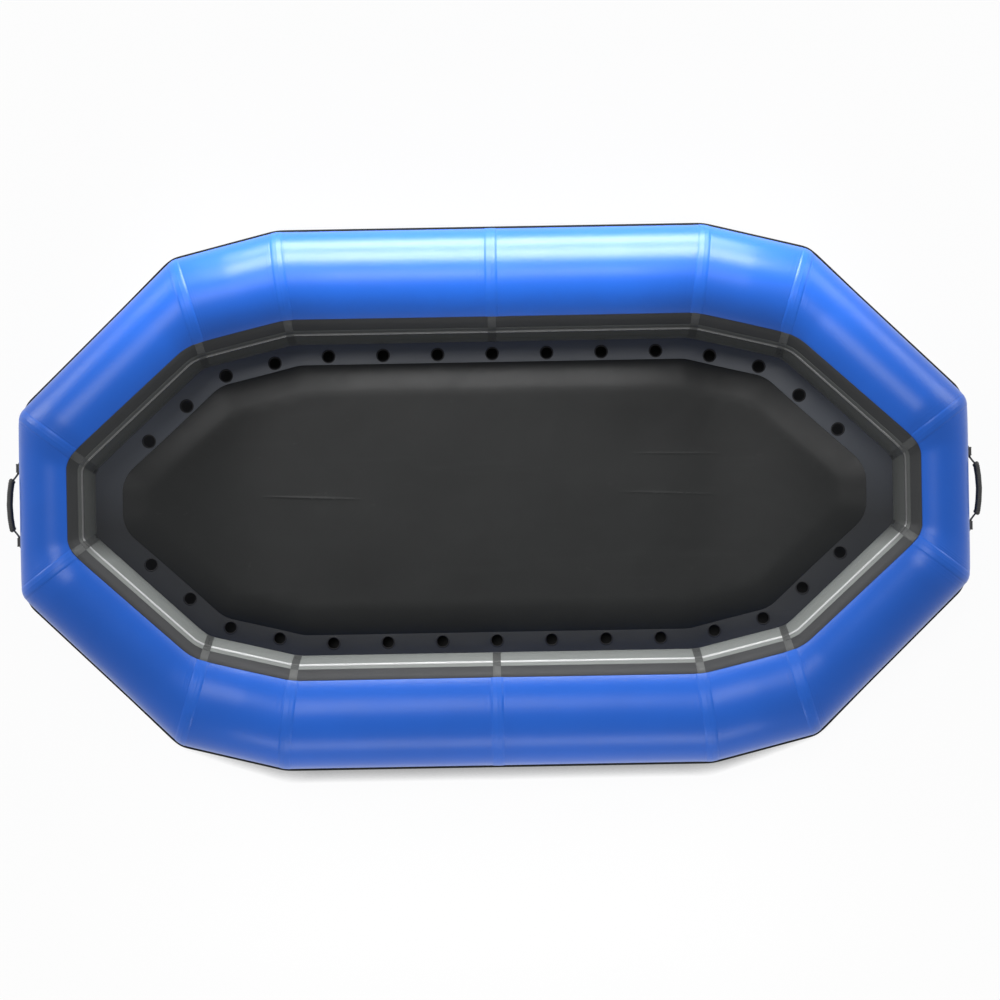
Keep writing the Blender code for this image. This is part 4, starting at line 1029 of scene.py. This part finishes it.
def build_floor(panel, material, under_material):
    """The floor's top skin, with slow swells, soft ridges and sharp creases."""
    lines = [resample(inset(panel, distance), 0.022) for distance in FLOOR_ROWS]
    loose = lines[1:] + [plan_grid(panel, 0.03, 0.130)]
    for start, end, size in FLOOR_CREASES:
        along = np.linspace(0.0, 1.0, 24)[:, None]
        line = np.array(start) * (1 - along) + np.array(end) * along
        for side in (-0.009, -0.005, -0.0025, 0.0, 0.0025, 0.005, 0.009):
            loose.append(line + [0.0, side])
    plan = plan_mesh([lines[0]], np.concatenate(loose), lambda places: inside(lines[0], places))
    points = plan[0]
    x, y = points.T
    depth = np.maximum(0.0, depth_in(panel, points))
    height = crown_height(panel, points)
    sag = np.clip((depth - 0.10) / 0.15, 0.0, 1.0)
    for along, across, size, tilt in SWELLS:
        height = height + sag * size * np.sin(x * along * 3 + tilt) * np.cos(y * across * 3 + tilt)
    for cx, cy, turn, length, width, size in RIDGES:
        turn = math.radians(turn)
        dx, dy = x - cx, y - cy
        u = dx * math.cos(turn) + dy * math.sin(turn)
        v = -dx * math.sin(turn) + dy * math.cos(turn)
        height = height + size * np.exp(-(u / length) ** 2 - (v / width) ** 2)
    for start, end, size in FLOOR_CREASES:
        share = np.clip((x - start[0]) / (end[0] - start[0]), 0.0, 1.0)
        fade = np.sin(share * math.pi) ** 0.5
        across = y - (start[1] + (end[1] - start[1]) * share)
        height = height + size * fade * np.exp(-(across / 0.0035) ** 2)
    plate_piece("floor_top_skin_sheet", "floor_top_skin", plan, height, PANEL_SKIN, material,
                "grey_floor_fabric", 60)
    for name in ("floor_bottom_skin", "floor_side_wall"):
        paint_node(name, under_material)


def paint_node(name, material):
    """Give a carried-over node its finish."""
    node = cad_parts[name]
    node.data.materials.clear()
    node.data.materials.append(material)


# ---- handles


# Distance from the middle, reach past the sleeves' axis, width and depth along the strap.
HANDLE_PATH = (
    (0.1620, 0.0000, 0.0098, 0.0098), (0.1290, 0.0000, 0.0098, 0.0098),
    (0.1245, 0.0006, 0.0150, 0.0070), (0.1190, 0.0043, 0.0225, 0.0042),
    (0.1040, 0.0162, 0.0230, 0.0040), (0.0920, 0.0270, 0.0150, 0.0075),
    (0.0500, 0.0331, 0.0140, 0.0080), (0.0000, 0.0360, 0.0140, 0.0080),
)


def smooth_path(rows, steps):
    """Denser rows through the given ones, without overshoot."""
    rows = np.array(rows, float)
    travel = travel_along(rows[:, :2])
    found = at_places(rows, travel, np.linspace(0.0, travel[-1], steps))
    for _ in range(3):
        found[1:-1] = (found[:-2] + found[1:-1] * 2 + found[2:]) / 4
    return found


def handle_rows():
    return smooth_path(HANDLE_PATH + tuple((-y, *rest) for y, *rest in HANDLE_PATH[-2::-1]), 150)


def sweep(rows, sides, width, depth, power=2.0):
    """Rings square to the handle's plan path, wide along Z."""
    up = np.array([0.0, 0.0, 1.0])
    centre = np.column_stack([rows[:, 1], rows[:, 0], np.zeros(len(rows))])
    across = np.cross(unit(np.gradient(centre, axis=0)), up)
    turn = np.arange(sides) * 2 * math.pi / sides
    cosine = np.sign(np.cos(turn)) * np.abs(np.cos(turn)) ** (2 / power)
    sine = np.sign(np.sin(turn)) * np.abs(np.sin(turn)) ** (2 / power)
    points = centre[:, None] + across[:, None] * (depth[:, None] / 2 * cosine)[..., None]
    return points + up * (width[:, None] / 2 * sine)[..., None]


def build_handle(end, sign, webbing, grip_rubber, pad_rubber, thread):
    body = end + "_handle"
    place = Matrix.Translation((HANDLE_X * sign, 0.0, HANDLE_Z)) @ Matrix.Diagonal(
        (sign, 1.0, 1.0, 1.0))
    rows = handle_rows()
    strap = sweep(rows, STRAP_SIDES, rows[:, 2], rows[:, 3], 3.0)
    uvs = np.stack(np.meshgrid(travel_along(rows[:, :2]), np.arange(STRAP_SIDES) * 0.0022,
                               indexing="ij"), -1).reshape(-1, 2)
    piece = mesh_piece(end + "_handle_strap", *moved(capped(strap), place), webbing, body,
                       "black_webbing", uvs)
    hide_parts(end + "_handle_webbing")

    grip = smooth_path(rows[np.abs(rows[:, 0]) < 0.1005], 170)
    y = grip[:, 0]
    edge = np.clip((0.1 - np.abs(y)) / 0.006, 0.0, 1.0)
    radius = 0.0117 + 0.0007 * (np.cos(y * 2 * math.pi / 0.0072) > 0.25) * (edge >= 1)
    collar = (np.abs(y) > 0.0915) & (np.abs(y) < 0.0985)
    radius = np.where(collar, 0.0134, radius) * (0.80 + 0.20 * np.sqrt(edge))
    outer = sweep(grip, 32, radius * 2, radius * 2)
    hollow = sweep(grip, 32, grip[:, 2] + 0.0006, grip[:, 3] + 0.0006, 3.0)
    piece = mesh_piece(end + "_handle_grip_tube",
                       *moved(double_wall(outer, hollow, True), place), grip_rubber, body,
                       "black_rubber", sharp=40)
    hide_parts(end + "_handle_grip")

    stitch = rounded_box(0.0026, 0.0011, -0.0002, 0.0006, 0.0003, 2)
    side = Vector((0.0, 0.0, 1.0))
    stitches = []
    for way in (1, -1):
        ahead = Vector((-0.62 * way, -0.78, 0.0)).normalized()
        near = rows[np.abs(rows[:, 0] * way - 0.111) < 0.0065]
        for offset in (-0.0085, -0.0045, 0.0045, 0.0085):
            for row in near[::2]:
                for face_way in (1, -1):
                    normal = ahead.cross(side) * face_way
                    spot = Vector((row[1], row[0], offset)) + normal * 0.0020
                    stitches.append(moved(stitch, place @ axes_matrix(
                        ahead, normal.cross(ahead), normal, spot)))
    mesh_piece(end + "_handle_stitches", *joined(*stitches), thread, body, "black_webbing")

    for side, way in (("port", 1.0), ("starboard", -1.0)):
        build_patch(end, side, sign, way, pad_rubber)


def build_patch(end, side, sign, way, pad_rubber):
    """Glued pad with rounded corners, and the sleeve that holds the webbing's end."""
    half_y, corner, arc = 0.022, 0.010, math.radians(14.0) * END_RADIUS
    v, u = np.meshgrid(np.linspace(-1, 1, 21), np.linspace(-1, 1, 29), indexing="ij")
    y, z = v * half_y, u * arc
    over_y, over_z = np.abs(y) - (half_y - corner), np.abs(z) - (arc - corner)
    both = (over_y > 0) & (over_z > 0)
    pull = np.maximum(over_y, over_z) / np.maximum(np.hypot(over_y, over_z), 1e-9)
    y = np.where(both, np.sign(y) * (half_y - corner + over_y * pull), y)
    z = np.where(both, np.sign(z) * (arc - corner + over_z * pull), z)
    rim = np.clip((1 - np.maximum(np.abs(v), np.abs(u))) / 0.10, 0.0, 1.0)

    def shell_at(height):
        turn, reach = z / END_RADIUS, END_RADIUS + height
        return np.stack([(END_AXIS_X + reach * np.cos(turn)) * sign, (PATCH_Y + y) * way,
                         HANDLE_Z + reach * np.sin(turn)], -1)

    points, faces = double_wall(shell_at(0.0009 + 0.0022 * np.sqrt(rim)),
                                shell_at(np.full_like(rim, -0.0005)))
    parts = [(points, reversed_faces(faces) if sign * way < 0 else faces)]
    ring = [(0.0056, -0.0170), (0.0078, -0.0170), (0.0090, -0.0162), (0.0090, -0.0130),
            (0.0084, -0.0122), (0.0084, 0.0122), (0.0090, 0.0130), (0.0090, 0.0162),
            (0.0078, 0.0170), (0.0056, 0.0170), (0.0056, -0.0170)]
    parts.append(moved(lathe(ring, 40), Matrix.Translation(
        (HANDLE_X * sign, PATCH_Y * way, HANDLE_Z)) @ Matrix.Rotation(math.pi / 2, 4, "X")))
    low = END_AXIS_X + END_RADIUS * math.cos(0.14) + 0.0022
    gusset = ((low, 0.0205), (HANDLE_X - 0.0036, 0.0082), (HANDLE_X - 0.0070, 0.0050),
              (low - 0.0035, 0.0180))
    for up in (1, -1):
        block = [(x * sign, (PATCH_Y + y_place) * way, HANDLE_Z + up * rise)
                 for y_place in (-0.0165, 0.0165) for x, rise in gusset]
        parts.append((block, grid_faces(2, 4, True) + [(0, 1, 2, 3), (7, 6, 5, 4)]))
    piece = mesh_piece(f"{end}_handle_pad_{side}", *joined(*parts), pad_rubber, "raft",
                       "black_rubber", sharp=35)
    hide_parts(f"{end}_handle_patch_{side}")


# ---- valves


def valve_matrix(origin, axis):
    """Placement with local Z along the valve's axis and local X along the raft."""
    z_axis = Vector(axis).normalized()
    y_axis = z_axis.cross(Vector((1.0, 0.0, 0.0))).normalized()
    return axes_matrix(y_axis.cross(z_axis), y_axis, z_axis, origin)


def turned_piece(name, node, profile, sides, matrix, material, body, slot):
    """Lathed part of a valve, in the place of a node."""
    piece = mesh_piece(name, *moved(lathe(profile, sides), matrix), material, body, slot,
                       sharp=35)
    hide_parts(node)


def spring_piece(name, node, radius, foot, head, matrix, material):
    """Coil of three turns between the bodies at its ends, itself on no body."""
    steps, sides, turns = 72, 8, 3
    turn = np.linspace(0, turns * 2 * math.pi, steps + 1)
    height = np.linspace(foot + SPRING_WIRE, head - SPRING_WIRE, steps + 1)
    out = np.stack([np.cos(turn), np.sin(turn), np.zeros_like(turn)], 1)
    centre = np.column_stack([radius * np.cos(turn), radius * np.sin(turn), height])
    across = (np.arange(sides) * 2 * math.pi / sides)[None, :, None]
    grid = centre[:, None] + SPRING_WIRE * (out[:, None] * np.cos(across)
                                            + np.array([0, 0, 1.0]) * np.sin(across))
    piece = mesh_piece(name, *moved(capped(grid), matrix), material, None, "spring_steel")
    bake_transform(piece)
    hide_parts(node)


def build_valve(place, origin, axis, black, grey_plastic, metal):
    matrix = valve_matrix(origin, axis)
    top = 0.0044
    body = [(0.0160, -0.0090), (0.0160, top - 0.0006), (0.0166, top), (0.0246, top),
            (0.0256, top - 0.0004), (0.0260, top - 0.0012), (0.0260, 0.0004), (0.0195, 0.0004),
            (0.0195, -0.0050), (0.0191, -0.0056), (0.0191, -0.0070), (0.0195, -0.0076),
            (0.0195, -0.0296), (0.0190, -0.0300), (0.0110, -0.0300), (0.0110, -0.0275),
            (0.0160, -0.0275), (0.0160, -0.0115), (0.0104, -0.0115), (0.0100, -0.0111),
            (0.0100, -0.0094), (0.0104, -0.0090), (0.0160, -0.0090)]
    turned_piece("valve_housing_" + place, "valve_body_" + place, body, 64, matrix, black,
                 "raft", "valve_plastic")
    stem = [(0.0, 0.0010), (0.0044, 0.0010), (0.0056, 0.0007), (0.0060, 0.0001),
            (0.0060, -0.0020), (0.0032, -0.0020), (0.0032, -0.0119), (0.0126, -0.0119),
            (0.0130, -0.0123), (0.0130, -0.0145), (0.0126, -0.0149), (0.0, -0.0149)]
    turned_piece("valve_plunger_stem_" + place, "valve_plunger_" + place, stem, 48, matrix,
                 grey_plastic, place + "_plunger", "valve_grey_plastic")
    spring_piece("valve_spring_coil_" + place, "valve_spring_" + place, 0.0095, -0.0271, -0.0153,
                 matrix, metal)

    top, low = 0.0078, 0.0048
    lid = [(0.0, top), (0.0196, top), (0.0202, top - 0.0005), (0.0214, top - 0.0005),
           (0.0220, top), (0.0234, top), (0.0242, top - 0.0003), (0.0245, top - 0.0010),
           (0.0245, low), (0.0147, low), (0.0147, 0.0019), (0.0128, 0.0019), (0.0128, low),
           (0.0, low)]
    points, faces = lathe(lid, 72)
    turn = np.arctan2(points[:, 1], points[:, 0])
    rim = np.hypot(points[:, 0], points[:, 1]) > 0.0240
    notch = 1.0 - 0.014 * (np.cos(turn * 24) > 0.3)
    points[:, :2] = np.where(rim[:, None], points[:, :2] * notch[:, None], points[:, :2])
    bar = rounded_box(0.0400, 0.0060, top - 0.0010, top + 0.0030, 0.0009)
    piece = mesh_piece("valve_lid_" + place, *moved(joined((points, faces), bar), matrix), black,
                       place + "_cap", "valve_plastic", sharp=35)
    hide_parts("valve_cap_" + place)


def build_relief(origin, axis, black, grey_plastic, metal):
    matrix = valve_matrix(origin, axis)
    top, seat, mouth = 0.0044, -0.0011, 0.0138
    body = [(mouth, seat), (mouth, top - 0.0006), (mouth + 0.0006, top), (0.0228, top),
            (0.0237, top - 0.0004), (0.0240, top - 0.0012), (0.0240, 0.0004), (0.0165, 0.0004),
            (0.0165, -0.0216), (0.0161, -0.0220), (0.0100, -0.0220), (0.0100, seat - 0.0025),
            (0.0060, seat - 0.0025), (0.0060, seat), (mouth, seat)]
    turned_piece("relief_valve_housing", "relief_valve_body", body, 64, matrix, black, "raft",
                 "valve_plastic")
    disc = seat + 0.0004
    poppet = [(0.0, disc + 0.0026), (0.0040, disc + 0.0026), (0.0050, disc + 0.0030),
              (0.0124, disc + 0.0030), (0.0130, disc + 0.0024), (0.0130, disc),
              (0.0032, disc), (0.0032, -0.0200), (0.0086, -0.0200), (0.0090, -0.0204),
              (0.0090, -0.0216), (0.0086, -0.0220), (0.0, -0.0220)]
    turned_piece("relief_valve_plug", "relief_valve_poppet", poppet, 48, matrix, grey_plastic,
                 "relief_poppet", "valve_grey_plastic")
    spring_piece("relief_valve_coil", "relief_valve_spring", 0.0078, -0.0196, seat - 0.0029,
                 matrix, metal)


# ---- inner nodes


def build_inside(panel):
    cloth = Paint("bulkhead_cloth", (0.16, 0.17, 0.19), 0.6, 0.3)
    cloth.tint(cloth.noise(20.0), 0.85, 1.15)
    cloth.bump(cloth.weave(0.0018, False), 0.0001, 0.6)
    for name in ("port", "starboard", "bow", "stern"):
        paint_node("bulkhead_" + name, cloth.material)
    core = Paint("drop_stitch_threads", (0.62, 0.62, 0.58), 0.8, 0.2)
    upright = (1.0, 1.0, 0.02)
    core.tint(core.noise(400.0, 2.0, stretch=upright), 0.6, 1.1)
    core.bump(core.noise(600.0, 2.0, stretch=upright), 0.001, 0.8)
    build_core(panel, core.material)


# ---- studio


def add_object(name, data):
    made = bpy.data.objects.new(name, data)
    bpy.context.scene.collection.objects.link(made)
    return made


def lamp(name, kind, place, towards, **settings):
    """Light at a place, with a direction that points back at it."""
    data = bpy.data.lights.new(name, kind)
    for key, value in settings.items():
        setattr(data, key, value)
    made = add_object(name, data)
    made.location = place
    made.rotation_euler = towards.to_track_quat("Z", "Y").to_euler()
    return made


def soft_light(name, azimuth, elevation, spread, level):
    """Distant round softbox. Azimuth 0 is towards port and grows towards the stern, and level 1
    lights a white face square to it to white."""
    turn, climb = math.radians(azimuth), math.radians(elevation)
    towards = Vector((-math.sin(turn) * math.cos(climb), math.cos(turn) * math.cos(climb),
                      math.sin(climb)))
    lamp(name, "SUN", towards * 6.0, towards, angle=math.radians(spread), energy=level * math.pi)


def near_light(name, place, target, width, height, radiance, spread=180.0):
    """Rectangular softbox close to the raft, wide along X."""
    made = lamp(name, "AREA", place, Vector(place) - Vector(target), shape="RECTANGLE",
                size=width, size_y=height, energy=radiance * math.pi * width * height,
                spread=math.radians(spread))
    made.visible_camera = False


def studio_paper():
    """White paper that keeps a faint shadow, with a painted shadow where the raft stands on it:
    dark, and without its glow.
    """
    paint = Paint("studio_paper", (0.86, 0.86, 0.86), 0.95, 0.05)
    # Mask of the painted shadow: 0 under the raft, 1 clear of it.
    reach = paint.node("VectorMath", "Value", {0: paint.place(scale=(1 / 1.54, 1 / 0.90, 0.0))},
                       operation="LENGTH")
    wide = paint.node("MapRange", "Result", {"Value": reach, "From Min": 1.0, "From Max": 1.18},
                      interpolation_type="SMOOTHSTEP")
    base = paint.tint(paint.noise(0.6, 2.0, 0.5), 0.995, 1.005)
    # Painted shadow: a dark patch under the raft, where its shade falls.
    paint.over(base, paint.math("SUBTRACT", 1.0, wide), (0.03, 0.03, 0.03))
    lean = paint.node("CombineXYZ", "Vector", {"X": -0.25, "Y": 0.75, "Z": 0.61})
    free = paint.node("AmbientOcclusion", "AO", {"Distance": 0.17, "Normal": lean}, samples=8)
    shade = paint.math("MULTIPLY", paint.math("SUBTRACT", 1.0, free), 2.2)
    shade = paint.math("MAXIMUM", paint.math("SUBTRACT", 1.0, shade, clamp=True), 0.30)
    glow = paint.node("Emission", "Emission", {"Color": WHITE, "Strength": shade})
    share = paint.math("MULTIPLY", paint.math("MULTIPLY", paint.seen_directly(), wide), 0.93)
    both = paint.node("MixShader", "Shader", {"Fac": share, 1: paint.shader.outputs["BSDF"],
                                              2: glow})
    paint.put(paint.tree.nodes["Material Output"].inputs["Surface"], both)
    return paint.material


def build_studio():
    scene = bpy.context.scene
    scene.world = bpy.data.worlds.new("studio")
    scene.world.use_nodes = True
    sky = Graph(scene.world.node_tree)
    back = sky.tree.nodes["Background"].inputs
    sky.put(back["Color"], WHITE)
    sky.put(back["Strength"], sky.node("MapRange", "Result", {
        "Value": sky.seen_directly(), "To Min": 0.33, "To Max": 1.0}))

    steps = 9
    place = np.linspace(-PAPER_HALF, PAPER_HALF, steps)
    x, y = np.meshgrid(place, place, indexing="ij")
    points = np.stack([x, y, np.full_like(x, -0.001)], -1).reshape(-1, 3)
    mesh = bpy.data.meshes.new("studio_floor")
    mesh.from_pydata(points.tolist(), [], grid_faces(steps, steps))
    mesh.materials.append(studio_paper())
    add_object("studio_floor", mesh)

    soft_light("high_softbox", 22.0, 70.0, 26.0, 0.30)
    soft_light("left_fill", 55.0, 12.0, 36.0, 0.55)
    soft_light("right_fill", -50.0, 12.0, 36.0, 0.46)
    near_light("port_low_softbox", (0.0, 2.30, 0.42), (0.0, 0.95, 0.42), 2.8, 0.50, 2.4, 50.0)
    near_light("port_softbox", (0.0, 1.95, 1.05), (0.0, 0.88, 0.42), 2.8, 0.54, 3.0, 50.0)
    near_light("crown_softbox", (0.0, 1.13, 1.27), (0.0, 0.48, 0.13), 1.4, 0.14, 1.1, 36.0)
    near_light("starboard_softbox", (0.0, -1.95, 0.90), (0.0, -1.00, 0.35), 2.6, 0.32, 4.2)

    data = bpy.data.cameras.new("photo_camera")
    data.lens, data.sensor_width = 59.9, 36.0
    data.clip_start, data.clip_end = 0.1, 200.0
    camera = add_object("photo_camera", data)
    camera.location = (0.022, -0.013, 6.950)
    camera.rotation_euler = (0.0, 0.0, math.radians(-1.03))
    scene.camera = camera
    scene.view_settings.view_transform = "Standard"


def main():
    tube = Tube()
    # Each band material's second colour is painted light on the starboard side; on the piping it
    # is a painted highlight.
    band = band_fabric("grey_chafe_fabric", (0.024, 0.025, 0.026), 0.42, 0.20,
                       (0.034, 0.035, 0.037))
    inner_band = band_fabric("grey_inner_band_fabric", (0.062, 0.065, 0.063), 0.38, 0.22,
                             (0.205, 0.217, 0.209))
    piping = rubber("grey_band_piping", (0.055, 0.056, 0.057), 0.20, 900.0, 0.80,
                    (0.42, 0.43, 0.43))
    band_tape = band_fabric("grey_corner_tape", (0.045, 0.047, 0.047), 0.32, 0.28,
                            (0.075, 0.078, 0.077))
    build_tapes(tube, tape_fabric(), band)
    build_tubes(tube, blue_fabric(), band)
    build_band(tube, band, inner_band, piping, band_tape)
    build_strakes(tube, rubber("black_strake_rubber", (0.008, 0.009, 0.010), 0.60, specular=0.04))

    panel = panel_outline()
    top = floor_fabric("charcoal_floor_fabric", (0.0085, 0.0092, 0.0092), 0.34, 0.18)
    # The flange's lighter bluish colour towards port is a painted sheen.
    flange = floor_fabric("charcoal_flange_fabric", (0.0120, 0.0135, 0.0160), 0.35, 0.28,
                          (0.055, 0.062, 0.075))
    under = floor_fabric("charcoal_under_fabric", (0.020, 0.021, 0.021), 0.50, 0.25)
    rim = rubber("drain_rim_rubber", (0.008, 0.008, 0.009), 0.50, specular=0.20)
    build_flange(tube, panel, flange, rim)
    build_floor(panel, top, under)

    webbing = webbing_fabric("black_polyester_webbing", (0.012, 0.012, 0.013))
    grip = rubber("black_grip_rubber", (0.010, 0.010, 0.010), 0.48, 900.0)
    pad = rubber("black_pad_rubber", (0.014, 0.014, 0.015), 0.50)
    thread = rubber("grey_bonded_thread", (0.060, 0.060, 0.062), 0.55, 2500.0)
    for end, sign in (("bow", 1.0), ("stern", -1.0)):
        build_handle(end, sign, webbing, grip, pad, thread)

    plastics = (plastic("black_valve_plastic", (0.016, 0.016, 0.017), 0.38),
                plastic("grey_valve_plastic", (0.30, 0.31, 0.32), 0.40),
                steel("spring_wire_steel"))
    for side, y_sign in (("port", 1.0), ("starboard", -1.0)):
        for part, x_sign in (("fore", 1.0), ("aft", -1.0)):
            build_valve(side + "_" + part, (0.45 * x_sign, 0.663811 * y_sign, 0.111538),
                        (0.0, -0.866025 * y_sign, -0.5), *plastics)
    build_valve("floor", (1.15, 0.0, 0.045696), (0.211131, 0.0, -0.977458), *plastics)
    build_relief((-1.15, 0.0, 0.045696), (-0.211131, 0.0, -0.977458), *plastics)
    build_inside(panel)
    build_studio()


main()
